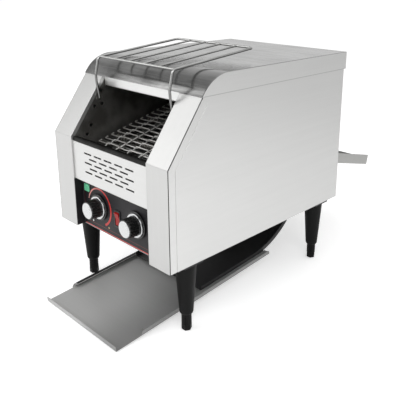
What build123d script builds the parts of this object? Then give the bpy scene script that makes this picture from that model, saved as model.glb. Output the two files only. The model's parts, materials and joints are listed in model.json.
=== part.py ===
from build123d import *
import os
from math import asin, cos, degrees, pi, radians, sin, tan

os.makedirs("parts", exist_ok=True)

# Conveyor toaster. Millimetres, +X to the right seen from the front, +Y to the rear, +Z up.
# The origin is on the floor, midway between the four feet.

# Casing
casing_width = 283.0  # across the outer faces of the side panels
casing_depth = 413.0  # bezel face to the rear edge of the side panels
cover_top = 388.0  # top of the cover above the floor
underside_z = 115.0  # lower edge of the casing above the floor
fold_z = 269.0  # height at which the front face leans back
front_slope = radians(54.0)  # lean of the upper front, above level
front_radius = 60.0  # curve from the leaning front to the top
sheet = 1.0  # stainless sheet of the casing
side_flange = 14.0  # inward flange round each side panel
hem_width = 11.0  # folded strip along the front edge of a side panel
hem_rise = 0.5  # how far that strip stands proud
hem_end_gap = 1.0  # below the cover's flange
seam_width = 1.5  # shadow line behind the strip
seam_depth = 0.6
bezel_width = 47.0  # each front bezel, from the casing's side to the opening
bezel_return = 7.0  # depth of the bezel's inner return
bezel_gap = 0.8  # shadow gap between bezel and side panel

# Cover
cover_overhang = 4.0  # cover beyond the rear edge of the side panels
cover_flange = 30.0  # depth of the cover's side flanges
bezel_tuck = 2.5  # bezel that runs on under the cover's lip

# Back panel
side_gap_back = 1.5  # back panel edge in from the side panel's outer face
outlet_low_z = 165.0
outlet_high_z = 262.0
outlet_clearance = 1.5
louvre_field_z = 318.0
louvre_gap_x = 10.0  # between louvres
louvre_gap_z = 7.0
louvre_columns = 5
louvre_rows = 7
louvre_length = 34.0
louvre_height = 4.0
gland_inset = 29.5  # gland in from the side panel's outer face
gland_z = 150.0
gland_thread_diameter = 16.0
gland_across = 22.0
gland_hex = 5.0
gland_dome = 12.0
gland_dome_diameter = 18.0
gland_mouth_diameter = 12.0
gland_bore = 8.0
gland_nut = 4.0
panel_screw_inset = 7.5  # screws in from the side panel's outer face
panel_screw_low = 20.0  # lowest screw above the casing's lower edge
panel_screw_high = 43.0  # highest screw below the top
panel_screws = 4  # on each side
outlet_corner = 4.0
screw_shank = 3.5
screw_hole = 3.8
screw_head = 7.0
screw_head_height = 2.0
screw_length = 7.0
screw_head_taper = 25

# Fits of the sheets
floor_gap = 0.3  # base frame to the side panels' lower flanges
recess_clearance = 0.25  # base frame's front opening to the bezel returns, each side
floor_clearance = 0.5  # base frame's opening to the chamber plates, each side
fitting_gap = 0.3  # panels between the bezels, each side
leg_bolt_hole = 6.6

# Legs and feet
leg_setback = 45.0  # front leg centres behind the bezel face
leg_spacing_y = 320.0
leg_inset = 18.0  # leg centres in from the side panel's outer face
leg_top_diameter = 33.0
leg_shoulder_diameter = 21.5
leg_shoulder_z = 31.0
leg_collar = 2.5  # chamfer under the shoulder
foot_diameter = 15.6
foot_hex = 14.0  # across the flats of the foot's wrenching end
foot_hex_height = 10.0
foot_pad_chamfer = 1.2
stud_diameter = 8.0
stud_reach = 30.0  # foot stud inside the leg
thread_clearance = 0.05  # radial, foot stud in its leg
leg_plate_size = 37.0
leg_plate_thickness = 2.0
leg_bolt_diameter = 6.0
leg_bolt_reach = 18.0  # bolt inside the leg
leg_bolt_across = 10.0
leg_bolt_head = 4.0
leg_foot_gap = 0.5
stud_spare = 2.0  # bore beyond the foot's stud

# Control recess
recess_depth = 16.0  # control panel face behind the bezel face
panel_sheet = 1.2
panel_top_z = 197.3
panel_front_gap = 0.8  # front edges of the control panel behind the bezel face
slot_panel_bottom_z = 197.5
slot_panel_top_z = 262.0
slot_panel_setback = 3.0
slot_length = 20.0
slot_height = 2.6
slot_pitch_x = 26.5
slot_pitch_z = 7.75
slot_rows = 5
slots_in_long_row = 5
slot_field_z = 232.4  # middle of the slot field
knob_spacing = 97.0
knob_z = 157.0
knob_diameter = 31.0
knob_front_diameter = 29.5
knob_skirt_diameter = 44.0
knob_ring_diameter = 38.5
knob_ring_height = 2.5
knob_skirt_height = 3.0
knob_length = 23.6
knob_gap = 0.4  # between the turning knob and the panel
knob_flutes = 18
knob_cap_diameter = 26.0
knob_cap_thickness = 0.9
spindle_diameter = 6.0
spindle_clearance = 0.05  # radial running fit in the neck
spindle_depth = 6.0  # spindle inside the control's body
spindle_reach = 16.0  # spindle ahead of the panel's face
neck_diameter = 9.0  # threaded neck through the panel
neck_reach = 4.0
nut_across = 13.0
nut_height = 2.0
nut_recess_diameter = 18.0  # under the knob
nut_recess_depth = 5.0
flute_offset = 0.5  # centres of the grip's flutes outside its surface
flute_radius = 1.3
potentiometer_diameter = 24.0
potentiometer_depth = 12.0
mode_switch_size = 30.0
mode_switch_depth = 28.0
rocker_z = 151.0
rocker_frame_width = 15.5
rocker_frame_height = 28.5
rocker_width = 10.4
rocker_height = 22.4
rocker_clearance = 0.45
rocker_tilt = radians(8.0)  # each side of level
rocker_frame_rise = 1.6
rocker_body_width = 12.9
rocker_body_height = 25.5
rocker_body_depth = 20.0
rocker_cavity_depth = 12.0
rocker_axis_depth = 1.0  # rocker's axis behind the panel's face
rocker_shoulder = 3.4  # half the depth of the rocker's round ends
rocker_dish = 1.4  # dip in the middle of the rocker's face
rocker_back = 6.5
rocker_tail = 3.0  # half the depth of the rocker's inner end
rocker_frame_corner = 1.5
rocker_pin_diameter = 2.4
rocker_pin_clearance = 0.05  # radial
rocker_pin_half_length = 6.0
lamp_inset = 13.5  # lamp's middle in from the opening's edge
lamp_z = 182.0
lamp_width = 14.0
lamp_height = 13.0
lamp_rise = 2.2
lamp_corner = 2.0
lamp_body_step = 3.0  # lamp body smaller than its lens
lamp_body_depth = 18.0
box_parts_setback = 68.0  # parts on the floor of the control box
controller_x = -30.0
controller_width = 40.0
controller_depth = 30.0
controller_height = 18.0
fin_pitch = 5.0
fin_grooves = 7
fin_depth = 8.0
terminal_x = 40.0
terminal_width = 60.0
terminal_depth = 20.0
terminal_height = 15.0
terminal_pitch = 10.0
terminals = 6
terminal_well = 5.0

# Front panels behind the recess
control_box_depth = 97.0  # rear wall of the control box behind the bezel face
slot_panel_return = 14.2  # lower edge, over the control panel
slot_panel_top_return = 9.0
feed_lip_rise = 5.6
feed_lip_gap = 0.2  # over the slotted panel
feed_lip_setback = 1.5  # behind the slotted panel's face
feed_lip_crown = 9.0  # far end of the lip's crown, behind the slotted panel's face
feed_lip_fall = 0.6  # over the crown
feed_lip_bend = 2.6
feed_lip_sheet = 0.8
feed_lip_end = 22.0  # rear edge of the feed lip behind the bezel face
feed_lip_end_rise = 18.5  # that edge above the front shaft
deflector_depth = 4.0  # plate's top edge below the front's face
deflector_setback = 70.0
deflector_low_z = 341.5
deflector_hem = 8.0
deflector_hem_rise = 2.0
deflector_tuck = 1.0  # plate's top edge behind the cover's lip

# Conveyor
conveyor_slope = radians(14.5)
belt_pitch = 12.7
belt_side_gap = 8.5  # belt's edge in from the opening's edge
belt_wire = 2.2
belt_spaces = 6  # lengths between the link joints across the belt
links_per_run = 20  # pitches between the two shafts
sprocket_teeth = 8
wire_clearance = 0.5  # between two interlaced belt wires
front_shaft_setback = 38.0  # front shaft behind the bezel face
front_shaft_z = 236.0
shaft_diameter = 10.0
bush_clearance = 0.05  # radial running fit in the bushes
sprocket_clearance = 0.4  # between a sprocket's tip and the belt wires
sprocket_width = 9.0
sprocket_step = 57.5  # one sprocket in the middle, one each side
notch_angle = 360 / sprocket_teeth + degrees(conveyor_slope)  # first notch of a sprocket, on a belt line
link_lap = 0.75 * belt_wire  # how far a leg leans past the square, each way
edge_hook = 0.45  # end hooks of a strand, in pitches
rail_x = 43.0
rail_width = 6.0
rail_depth = 8.0
rail_gap = 0.2  # rail tops under the belt wires
rail_margin = 4.0  # rails end short of the shafts
crossbar_diameter = 5.0

# Chamber
chamber_sheet = 1.0
chamber_gap = 1.2  # chamber plate outside the bezel's opening edge
chamber_rear_gap = 16.0  # chamber rear wall ahead of the casing's rear
tube_diameter = 10.0
tube_overhang = 9.0  # quartz tube beyond the chamber plate, each end
cap_diameter = 15.0
cap_length = 14.0
upper_tube_rise = 84.0  # upper tubes above the belt's middle, square to it
hole_diameter = 5.0
tubes_above = 3  # upper tubes, up the conveyor from the front shaft
first_upper_tube = 92.0
upper_tube_step = 50.0
tubes_below = 3  # lower tubes, between the belt's two runs
first_lower_tube = 55.0
lower_tube_step = 72.0
first_crossbar = 30.0  # rail crossbars: one at each end, the others midway between tubes
last_crossbar = 226.0
# Holes in each chamber plate: behind the bezel face, above the floor
adjuster_holes = ((62.5, 334.0), (63.0, 312.5), (48.5, 310.0), (40.0, 280.0), (31.5, 266.0))
reflector_end = 200.0  # up the conveyor, where the reflector turns level
bush_diameter = 14.0
bush_flange_diameter = 20.0
bush_flange = 2.0
bush_reach = 2.0  # bush beyond the chamber plate's outer face
rack_pivot_clearance = 0.08  # radial
reflector_start = 60.0
reflector_rise = 95.2
reflector_bend = 6.0
tube_clearance = 0.3  # radial, tubes and crossbars in the chamber plates
panel_edge_gap = 0.5  # cross sheets between the chamber plates, each side
shield_front_setback = 19.0
shield_front_z = 199.5
shield_bend_setback = 45.0
shield_bend_z = 206.5
shield_end_setback = 300.0
shield_turndown = 15.0
shield_bend_radius = 3.0

# Drive and electrical parts
motor_diameter = 60.0
motor_gearbox_length = 18.0
motor_can_diameter = 50.0
motor_can_length = 12.0
motor_standoff = 12.0  # motor face outside the chamber plate
coupling_diameter = 18.0
coupling_length = 9.0
coupling_gap = 0.5
motor_pillar_radius = 23.0
motor_pillar_diameter = 6.0

# Toast chute and trays
tray_front_reach = 64.0  # tray lip ahead of the bezel face
tray_slope = radians(4.6)
tray_clear_z = 1.0  # tray's underside above the floor at its front edge
tray_side_gap = 0.0  # output tray's edge in from the opening's edge
tray_length = 341.0
tray_sheet = 1.0
tray_lip = 8.5
rail_start = 47.0  # tray rails start this far behind the tray's lip
rail_inner_height = 5.0
rail_lip_width = 6.0
chute_side_gap = 7.5  # chute's edge in from the opening's edge
chute_radius = 160.0
chute_sheet = 1.0
chute_front_setback = 112.0
chute_bend_ahead = 175.0  # start of the curve, ahead of the casing's rear edge
chute_top_z = 178.0
chute_rim = 8.0
slide_clearance = 0.4
tongue_clearance = 1.2  # chute's tongues to the tray's rail walls
rear_tray_width = 200.0
rear_tray_slope = radians(14.5)
rear_tray_reach = 180.0  # rear tray behind the casing's rear edge
rear_tray_end_z = 125.5
rear_tray_wall = 20.5
rear_tray_lip = 14.0
rear_tray_inside = 11.0
ear_width = 14.0  # fixing ears of the rear tray, on the back panel
ear_height = 16.0
ear_z = 183.0
ear_corner = 2.0
bracket_low_z = 128.0  # chute brackets
bracket_high_z = 160.0
bracket_height = 16.0
bracket_depth = 7.0

# Wire rack
rack_wire = 4.0
rack_inner_wire = 3.0
rack_side_gap = 4.5  # rack's arms in from the opening's edge
rack_front_setback = 57.0
rack_length = 168.0
rack_rise = radians(5.5)
rack_corner_radius = 7.0
rack_pivot_setback = 56.0
rack_pivot_z = 322.0
rack_inner_wires = 4
rack_hook_radius = 3.0
rack_hook_reach = 1.8  # beyond the chamber plate's outer face
rack_bend_setback = 51.5  # two places on the rack's arms
rack_bend_z = 350.0
rack_knee_setback = 50.5
rack_knee_z = 362.0
rack_shoulder_z = 390.0
rack_cross_wire = 3.0  # front cross wire behind the shoulder

# ---------------------------------------------------------------- worked-out places
front = -(leg_setback + leg_spacing_y / 2)  # the bezels' front plane
rear = front + casing_depth
half_width = casing_width / 2
opening_width = casing_width - 2 * bezel_width  # between the two front bezels
belt_width = opening_width - 2 * belt_side_gap
tray_width = opening_width - 2 * tray_side_gap
chute_width = opening_width - 2 * chute_side_gap
lamp_x = lamp_inset - opening_width / 2
panel_screw_x = half_width - panel_screw_inset
gland_x = half_width - gland_inset
body_top = cover_top - sheet
low_screw_z = underside_z + panel_screw_low
screw_step_z = (cover_top - panel_screw_high - low_screw_z) / (panel_screws - 1)
panel_screw_z = [low_screw_z + number * screw_step_z for number in range(panel_screws)]
opening_edge = opening_width / 2
chamber_x = opening_edge + chamber_gap  # inner face of a chamber side plate
chamber_outer_x = chamber_x + chamber_sheet
panel_face = front + recess_depth
leg_x = half_width - leg_inset
rack_half_width = opening_edge - rack_side_gap
rack_inner_pitch = 2 * rack_half_width / (rack_inner_wires + 1)
rack_hook_x = chamber_outer_x + rack_hook_reach
leg_y = leg_spacing_y / 2
belt_radius = belt_pitch * sprocket_teeth / (2 * pi)
run_length = belt_pitch * links_per_run
front_shaft = Vector(0, front + front_shaft_setback, front_shaft_z)
along = Vector(0, cos(conveyor_slope), sin(conveyor_slope))
upward = Vector(0, -sin(conveyor_slope), cos(conveyor_slope))
rear_shaft = front_shaft + along * run_length
wire_step = belt_wire + wire_clearance  # two wires crossing at a link joint
belt_inner = belt_radius - wire_step / 2 - belt_wire / 2
chamber_rear = rear - chamber_rear_gap
lip_run = (cover_top - cover_flange - fold_z) / tan(front_slope)
standing = (Align.CENTER, Align.CENTER, Align.MIN)
tray_front = front - tray_front_reach
full_width = casing_width + 2 * sheet


def conveyor_point(distance, rise):
    """Place in the side view, `distance` up the conveyor and `rise` square to it."""
    spot = front_shaft + along * distance + upward * rise
    return (spot.Y, spot.Z)


def on_front(inset, run=0.0):
    """Point on the leaning front, `inset` below its face and `run` behind the fold."""
    return (
        front + run + inset * sin(front_slope),
        fold_z + run * tan(front_slope) - inset * cos(front_slope),
    )


def fold_point(inset):
    """Corner between the upright and the leaning front, `inset` below the face."""
    return (front + inset, fold_z - inset * (1 - sin(front_slope)) / cos(front_slope))


def front_band(plane, near, far, run, low_z=underside_z):
    """Band of the front between two depths below its face, as a side-view face."""
    with BuildSketch(plane) as band:
        with BuildLine():
            Polyline(
                (front + near, low_z),
                fold_point(near),
                on_front(near, run),
                on_front(far, run),
                fold_point(far),
                (front + far, low_z),
                close=True,
            )
        make_face()
    return band.sketch


def casing_outline(plane, inset=0.0, back=rear, top=body_top, low_z=underside_z):
    """Side view of the casing, with the front held in by `inset`."""
    fold = fold_point(inset)
    crest = (fold[0] + (top - fold[1]) / tan(front_slope), top)
    with BuildSketch(plane) as outline:
        with BuildLine():
            Polyline((front + inset, low_z), fold, crest, (back, top), (back, low_z), close=True)
        make_face()
        corner = outline.vertices().group_by(Axis.Y)[-1].sort_by(Axis.X)[0]
        fillet(corner, front_radius - inset)
    return outline.sketch


def bent_sheet(points, thickness, radius=1.5):
    """Section of a sheet bent along `points`, thickened to their left."""
    with BuildSketch(Plane.YZ) as section:
        with BuildLine():
            FilletPolyline(*points, radius=radius)
            offset(amount=thickness, side=Side.LEFT)
        make_face()
    return section.sketch


def side_plane(x):
    """Plane of the side view at `x`, with its sketches extruded towards +X."""
    return Plane.YZ.offset(x)


# ---------------------------------------------------------------- casing
# Side panels: one sheet each, flanged inwards all round, with a folded strip on the front edge.
for name, side in (("left", -1), ("right", 1)):
    outer = side * half_width
    with BuildPart() as side_panel:
        plate = casing_outline(side_plane(outer), sheet)
        extrude(plate, amount=-side * side_flange)
        inside = casing_outline(
            side_plane(outer - side * sheet),
            2 * sheet,
            back=rear - sheet,
            top=body_top - sheet,
            low_z=underside_z + sheet,
        )
        extrude(inside, amount=-side * side_flange, mode=Mode.SUBTRACT)
        with BuildSketch(Plane.XZ.offset(-rear)):
            with Locations(*[(side * panel_screw_x, z) for z in panel_screw_z]):
                Circle(screw_hole / 2)
        extrude(amount=sheet, mode=Mode.SUBTRACT)
        hem_edge = sheet + hem_width
        hem = front_band(side_plane(outer), sheet, hem_edge, lip_run - hem_end_gap)
        extrude(hem, amount=side * hem_rise)
        seam_edge = hem_edge + seam_width
        seam = front_band(side_plane(outer), hem_edge, seam_edge, lip_run - hem_end_gap)
        extrude(seam, amount=-side * seam_depth, mode=Mode.SUBTRACT)
    side_panel.part.label = f"side_panel_{name}"
    export_step(side_panel.part, f"parts/side_panel_{name}.step")

# Front bezels: the folded strips that frame the opening and the controls.
for name, side in (("left", -1), ("right", 1)):
    bezel_run = lip_run + bezel_tuck
    with BuildPart() as front_bezel:
        face = front_band(side_plane(side * opening_edge), 0, sheet, bezel_run)
        extrude(face, amount=side * (half_width - bezel_gap - opening_edge))
        inner_return = front_band(side_plane(side * opening_edge), 0, bezel_return, bezel_run)
        extrude(inner_return, amount=side * sheet)
    front_bezel.part.label = f"front_bezel_{name}"
    export_step(front_bezel.part, f"parts/front_bezel_{name}.step")

# Cover: a single sheet rolled over the front curve, with flanges down both sides.
with BuildPart() as top_cover:
    cover_back = rear + cover_overhang
    skin = casing_outline(side_plane(-half_width - sheet), -sheet, cover_back, cover_top)
    extrude(skin, amount=full_width)
    inside = casing_outline(side_plane(-half_width), 0, cover_back + sheet)
    extrude(inside, amount=casing_width, mode=Mode.SUBTRACT)
    split(bisect_by=Plane.XY.offset(cover_top - cover_flange), keep=Keep.TOP)
top_cover.part.label = "top_cover"
export_step(top_cover.part, "parts/top_cover.step")

# Back panel: closes the rear between the side panels, with the rear outlet, cooling louvres
# and the hole of the supply cable's gland.
back_width = casing_width - 2 * side_gap_back
outlet_half_width = rear_tray_width / 2 + outlet_clearance
screw_places = [(side * panel_screw_x, z) for side in (-1, 1) for z in panel_screw_z]
ear_places = [(side * (rear_tray_width + ear_width) / 2, ear_z) for side in (-1, 1)]
with BuildPart() as back_panel:
    with BuildSketch(Plane.XZ.offset(-rear)) as back_face:
        with BuildLine():
            Polyline(
                (-back_width / 2, underside_z + sheet),
                (-back_width / 2, body_top - sheet),
                (back_width / 2, body_top - sheet),
                (back_width / 2, underside_z + sheet),
                close=True,
            )
        make_face()
        with Locations((0, (outlet_low_z + outlet_high_z) / 2)):
            RectangleRounded(
                2 * outlet_half_width,
                outlet_high_z - outlet_low_z,
                outlet_corner,
                mode=Mode.SUBTRACT,
            )
        with Locations((-gland_x, gland_z)):
            Circle(gland_thread_diameter / 2, mode=Mode.SUBTRACT)
        with Locations(*screw_places, *ear_places):
            Circle(screw_hole / 2, mode=Mode.SUBTRACT)
        with Locations((0, louvre_field_z)):
            pitch_x = louvre_length + louvre_gap_x
            pitch_z = louvre_height + louvre_gap_z
            with GridLocations(pitch_x, pitch_z, louvre_columns, louvre_rows):
                SlotOverall(louvre_length, louvre_height, mode=Mode.SUBTRACT)
    extrude(amount=-sheet)
back_panel.part.label = "back_panel"
export_step(back_panel.part, "parts/back_panel.step")

# Base frame: the sheet floor between the side panels, open in the middle for the chute.
floor_width = casing_width - 2 * (side_flange + floor_gap)
floor_opening = 2 * (chamber_outer_x + floor_clearance)
recess_opening = opening_width + 2 * (sheet + recess_clearance)
with BuildPart() as base_frame:
    with BuildSketch(Plane.XY.offset(underside_z)):
        with BuildLine():
            Polyline(
                (-floor_width / 2, front + 2 * sheet),
                (floor_width / 2, front + 2 * sheet),
                (floor_width / 2, rear - sheet),
                (-floor_width / 2, rear - sheet),
                close=True,
            )
        make_face()
        opening_y = (front + control_box_depth + rear - chamber_rear_gap) / 2
        with Locations((0, opening_y)):
            opening_depth = rear - chamber_rear_gap - front - control_box_depth
            Rectangle(floor_opening, opening_depth, mode=Mode.SUBTRACT)
        with Locations((0, front + recess_depth / 2)):
            Rectangle(recess_opening, recess_depth, mode=Mode.SUBTRACT)
        with GridLocations(2 * leg_x, leg_spacing_y, 2, 2):
            Circle(leg_bolt_hole / 2, mode=Mode.SUBTRACT)
    extrude(amount=sheet)
base_frame.part.label = "base_frame"
export_step(base_frame.part, "parts/base_frame.step")

# ---------------------------------------------------------------- front panels
# Slotted panel: a shallow pressed sheet, slots cut in staggered rows.
slot_panel_width = opening_width - 2 * fitting_gap
with BuildPart() as slotted_front_panel:
    with BuildSketch(side_plane(-slot_panel_width / 2)):
        with BuildLine():
            FilletPolyline(
                (front + slot_panel_setback + slot_panel_return, slot_panel_bottom_z),
                (front + slot_panel_setback, slot_panel_bottom_z),
                (front + slot_panel_setback, slot_panel_top_z),
                (front + slot_panel_setback + slot_panel_top_return, slot_panel_top_z),
                radius=2 * sheet,
            )
            offset(amount=sheet, side=Side.RIGHT)
        make_face()
    extrude(amount=slot_panel_width)
    with BuildSketch(Plane.XZ.offset(-front)):
        for row in range(slot_rows):
            count = slots_in_long_row - row % 2
            with Locations((0, slot_field_z + (row - (slot_rows - 1) / 2) * slot_pitch_z)):
                with GridLocations(slot_pitch_x, 0, count, 1):
                    SlotOverall(slot_length, slot_height)
    extrude(amount=-slot_panel_setback - 2 * sheet, mode=Mode.SUBTRACT)
slotted_front_panel.part.label = "slotted_front_panel"
export_step(slotted_front_panel.part, "parts/slotted_front_panel.step")

# Feed lip: the rolled edge over which the bread slides on to the belt.
lip_width = opening_width - 2 * fitting_gap
lip_face = front + slot_panel_setback + feed_lip_setback
crown_end = front + slot_panel_setback + feed_lip_crown
with BuildPart() as feed_lip:
    lip_points = (
        (lip_face, slot_panel_top_z + feed_lip_gap),
        (lip_face, slot_panel_top_z + feed_lip_rise),
        (crown_end, slot_panel_top_z + feed_lip_rise - feed_lip_fall),
        (front + feed_lip_end, front_shaft_z + feed_lip_end_rise),
    )
    extrude(bent_sheet(lip_points, -feed_lip_sheet, feed_lip_bend), amount=lip_width / 2, both=True)
feed_lip.part.label = "feed_lip"
export_step(feed_lip.part, "parts/feed_lip.step")

# Control panel: a recessed sheet tray with its sides turned forward to the bezels.
with BuildPart() as control_panel:
    control_width = opening_width - 2 * fitting_gap
    with BuildSketch(Plane.XY.offset(underside_z + sheet)):
        with BuildLine():
            FilletPolyline(
                (-control_width / 2, front + panel_front_gap),
                (-control_width / 2, panel_face + panel_sheet),
                (control_width / 2, panel_face + panel_sheet),
                (control_width / 2, front + panel_front_gap),
                radius=2 * panel_sheet,
            )
            offset(amount=panel_sheet, side=Side.RIGHT)
        make_face()
    extrude(amount=panel_top_z - underside_z - sheet)
    with BuildSketch(Plane.XZ.offset(-panel_face)):
        with Locations((-knob_spacing / 2, knob_z), (knob_spacing / 2, knob_z)):
            Circle(neck_diameter / 2)
        with Locations((0, rocker_z)):
            Rectangle(rocker_body_width, rocker_body_height)
        with Locations((lamp_x, lamp_z)):
            Rectangle(lamp_width - lamp_body_step, lamp_height - lamp_body_step)
    extrude(amount=-2 * panel_sheet, mode=Mode.SUBTRACT)
control_panel.part.label = "control_panel"
export_step(control_panel.part, "parts/control_panel.step")

# Deflector: the bright plate under the cover's lip that sets the height of the mouth.
deflector_width = opening_width - 2 * fitting_gap
deflector_top = on_front(deflector_depth, lip_run + deflector_tuck)
deflector_points = (
    deflector_top,
    (front + deflector_setback, deflector_low_z),
    (front + deflector_setback + deflector_hem, deflector_low_z + deflector_hem_rise),
)
with BuildPart() as deflector_plate:
    extrude(bent_sheet(deflector_points, sheet), amount=deflector_width / 2, both=True)
deflector_plate.part.label = "deflector_plate"
export_step(deflector_plate.part, "parts/deflector_plate.step")

# ---------------------------------------------------------------- toasting chamber
cross_half_width = chamber_x - panel_edge_gap
upper_stations = [first_upper_tube + number * upper_tube_step for number in range(tubes_above)]
lower_stations = [first_lower_tube + number * lower_tube_step for number in range(tubes_below)]
tube_places = [conveyor_point(station, upper_tube_rise) for station in upper_stations]
tube_places += [conveyor_point(station, 0) for station in lower_stations]
midway_stations = [station + lower_tube_step / 2 for station in lower_stations[:-1]]
crossbar_stations = [first_crossbar, *midway_stations, last_crossbar]
crossbar_rise = belt_inner - rail_gap - rail_depth - crossbar_diameter / 2
crossbar_places = [conveyor_point(station, crossbar_rise) for station in crossbar_stations]
shaft_places = [(front_shaft.Y, front_shaft.Z), (rear_shaft.Y, rear_shaft.Z)]
rack_pivot = (front + rack_pivot_setback, rack_pivot_z)

# Upper reflector: the bright sheet over the upper heating tubes.
with BuildPart() as upper_reflector:
    reflector_points = (
        conveyor_point(reflector_start, reflector_rise),
        conveyor_point(reflector_end, reflector_rise),
        (chamber_rear - 2 * sheet, conveyor_point(reflector_end, reflector_rise)[1]),
    )
    extrude(bent_sheet(reflector_points, sheet, reflector_bend), amount=cross_half_width, both=True)
upper_reflector.part.label = "upper_reflector"
export_step(upper_reflector.part, "parts/upper_reflector.step")

# Chamber side plates: carry the tubes, the shafts, the belt's crossbars and the wire rack.
chamber_inset = 2 * sheet
for name, side in (("left", -1), ("right", 1)):
    with BuildPart() as chamber_side:
        plate = casing_outline(
            side_plane(side * chamber_x),
            chamber_inset,
            back=chamber_rear,
            top=body_top - chamber_inset,
            low_z=underside_z + sheet,
        )
        extrude(plate, amount=side * chamber_sheet)
        with BuildSketch(side_plane(side * chamber_x)):
            with Locations(*tube_places):
                Circle(tube_diameter / 2 + tube_clearance)
            with Locations(*crossbar_places):
                Circle(crossbar_diameter / 2)
            with Locations(*shaft_places):
                Circle(bush_diameter / 2)
            with Locations(rack_pivot):
                Circle(rack_wire / 2 + rack_pivot_clearance)
            with Locations(*[(front + setback, z) for setback, z in adjuster_holes]):
                Circle(hole_diameter / 2)
        extrude(amount=side * chamber_sheet, mode=Mode.SUBTRACT)
    chamber_side.part.label = f"chamber_side_{name}"
    export_step(chamber_side.part, f"parts/chamber_side_{name}.step")

# Chamber rear wall: the back of the drop shaft, turned out over the rear outlet.
with BuildPart() as chamber_rear_wall:
    wall_points = (
        (chamber_rear - sheet, conveyor_point(reflector_end, reflector_rise)[1]),
        (chamber_rear - sheet, outlet_high_z),
        (rear - sheet, outlet_high_z),
    )
    extrude(bent_sheet(wall_points, sheet), amount=cross_half_width, both=True)
chamber_rear_wall.part.label = "chamber_rear_wall"
export_step(chamber_rear_wall.part, "parts/chamber_rear_wall.step")

# Heat shield: the sheet under the belt that keeps the control box cool.
shield_bend_y = front + shield_bend_setback
shield_end_y = front + shield_end_setback
shield_end_z = shield_bend_z + (shield_end_y - shield_bend_y) * tan(conveyor_slope)
with BuildPart() as heat_shield:
    shield_points = (
        (front + shield_front_setback, shield_front_z),
        (shield_bend_y, shield_bend_z),
        (shield_end_y, shield_end_z),
        (shield_end_y + 2 * sheet, shield_end_z - shield_turndown),
    )
    extrude(bent_sheet(shield_points, sheet, shield_bend_radius), amount=cross_half_width, both=True)
heat_shield.part.label = "heat_shield"
export_step(heat_shield.part, "parts/heat_shield.step")

# Control box wall: closes the control box towards the toast chute.
wall_y = front + control_box_depth - sheet
wall_top = shield_bend_z + (wall_y - shield_bend_y) * tan(conveyor_slope) - sheet / 2
with BuildPart() as control_box_wall:
    wall_middle = (0, wall_y + sheet / 2, (underside_z + sheet + wall_top) / 2)
    with Locations(wall_middle):
        Box(2 * cross_half_width, sheet, wall_top - underside_z - sheet)
control_box_wall.part.label = "control_box_wall"
export_step(control_box_wall.part, "parts/control_box_wall.step")

# ---------------------------------------------------------------- heating tubes
# Quartz tubes: three above the belt and three between its two runs.
tube_half_length = chamber_outer_x + tube_overhang
for name, stations, rise in (
    ("upper", upper_stations, upper_tube_rise),
    ("lower", lower_stations, 0.0),
):
    with BuildPart() as heating_tubes:
        with BuildSketch(side_plane(0)):
            with Locations(*[conveyor_point(station, rise) for station in stations]):
                Circle(tube_diameter / 2)
        extrude(amount=tube_half_length, both=True)
    heating_tubes.part.label = f"{name}_heating_tubes"
    export_step(heating_tubes.part, f"parts/{name}_heating_tubes.step")

# Ceramic caps: hold both ends of each tube outside the chamber plates.
with BuildPart() as ceramic_end_caps:
    for side in (-1, 1):
        with BuildSketch(side_plane(side * chamber_outer_x)):
            with Locations(*tube_places):
                Circle(cap_diameter / 2)
        extrude(amount=side * cap_length)
        with BuildSketch(side_plane(side * chamber_outer_x)):
            with Locations(*tube_places):
                Circle(tube_diameter / 2)
        extrude(amount=side * tube_overhang, mode=Mode.SUBTRACT)
ceramic_end_caps.part.label = "ceramic_end_caps"
export_step(ceramic_end_caps.part, "parts/ceramic_end_caps.step")

# ---------------------------------------------------------------- conveyor
# Belt lines are counted once round the belt: up the upper run, round the rear sprockets,
# back along the lower run and round the front sprockets.
lines_per_turn = sprocket_teeth // 2
belt_lines = 2 * (links_per_run + lines_per_turn)


def belt_place(line, offset):
    """Side-view place on the belt at a line, `offset` outside the belt's middle."""
    reach = belt_radius + offset
    line = line % belt_lines
    if line <= links_per_run:
        return conveyor_point(line * belt_pitch, reach)
    if line <= links_per_run + lines_per_turn:
        turn = (line - links_per_run) * pi / lines_per_turn
        return conveyor_point(run_length + reach * sin(turn), reach * cos(turn))
    if line <= belt_lines - lines_per_turn:
        back = line - links_per_run - lines_per_turn
        return conveyor_point(run_length - back * belt_pitch, -reach)
    turn = (line - belt_lines + lines_per_turn) * pi / lines_per_turn
    return conveyor_point(-reach * sin(turn), -reach * cos(turn))


def strand_points(first_line):
    """Path of one strand: a square wave over two belt lines, hooked at both edges.

    In even spaces the strand runs low on its own line, in odd spaces high on the next one.
    Each leg leans back past the square, so that it catches the corner of the next strand.
    """
    space = belt_width / belt_spaces
    places = [(-belt_width / 2, first_line + edge_hook, -wire_step / 2)]
    places.append((-belt_width / 2, first_line, -wire_step / 2))
    for number in range(belt_spaces - 1):
        boundary = -belt_width / 2 + (number + 1) * space
        line, next_line = first_line + number % 2, first_line + (number + 1) % 2
        high, next_high = (-1) ** (number + 1), (-1) ** number
        places.append((boundary + link_lap, line, high * wire_step / 2))
        places.append((boundary - link_lap, next_line, next_high * wire_step / 2))
    places.append((belt_width / 2, first_line + 1, wire_step / 2))
    places.append((belt_width / 2, first_line + 1 - edge_hook, wire_step / 2))
    return [Vector(x, *belt_place(line, offset)) for x, line, offset in places]


# Wire belt: one bent strand for each line, each hooked into the next all the way round.
strands = []
for line in range(belt_lines):
    points = strand_points(line)
    with BuildPart() as strand:
        with BuildLine():
            Polyline(*points)
        with BuildSketch(Plane(points[0], z_dir=points[1] - points[0])):
            RegularPolygon(belt_wire / 2, 6)
        sweep(transition=Transition.RIGHT)
    strands.append(strand.part)
with BuildPart() as conveyor_belt:
    add(strands)
conveyor_belt.part.label = "conveyor_belt"
export_step(conveyor_belt.part, "parts/conveyor_belt.step")

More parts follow.
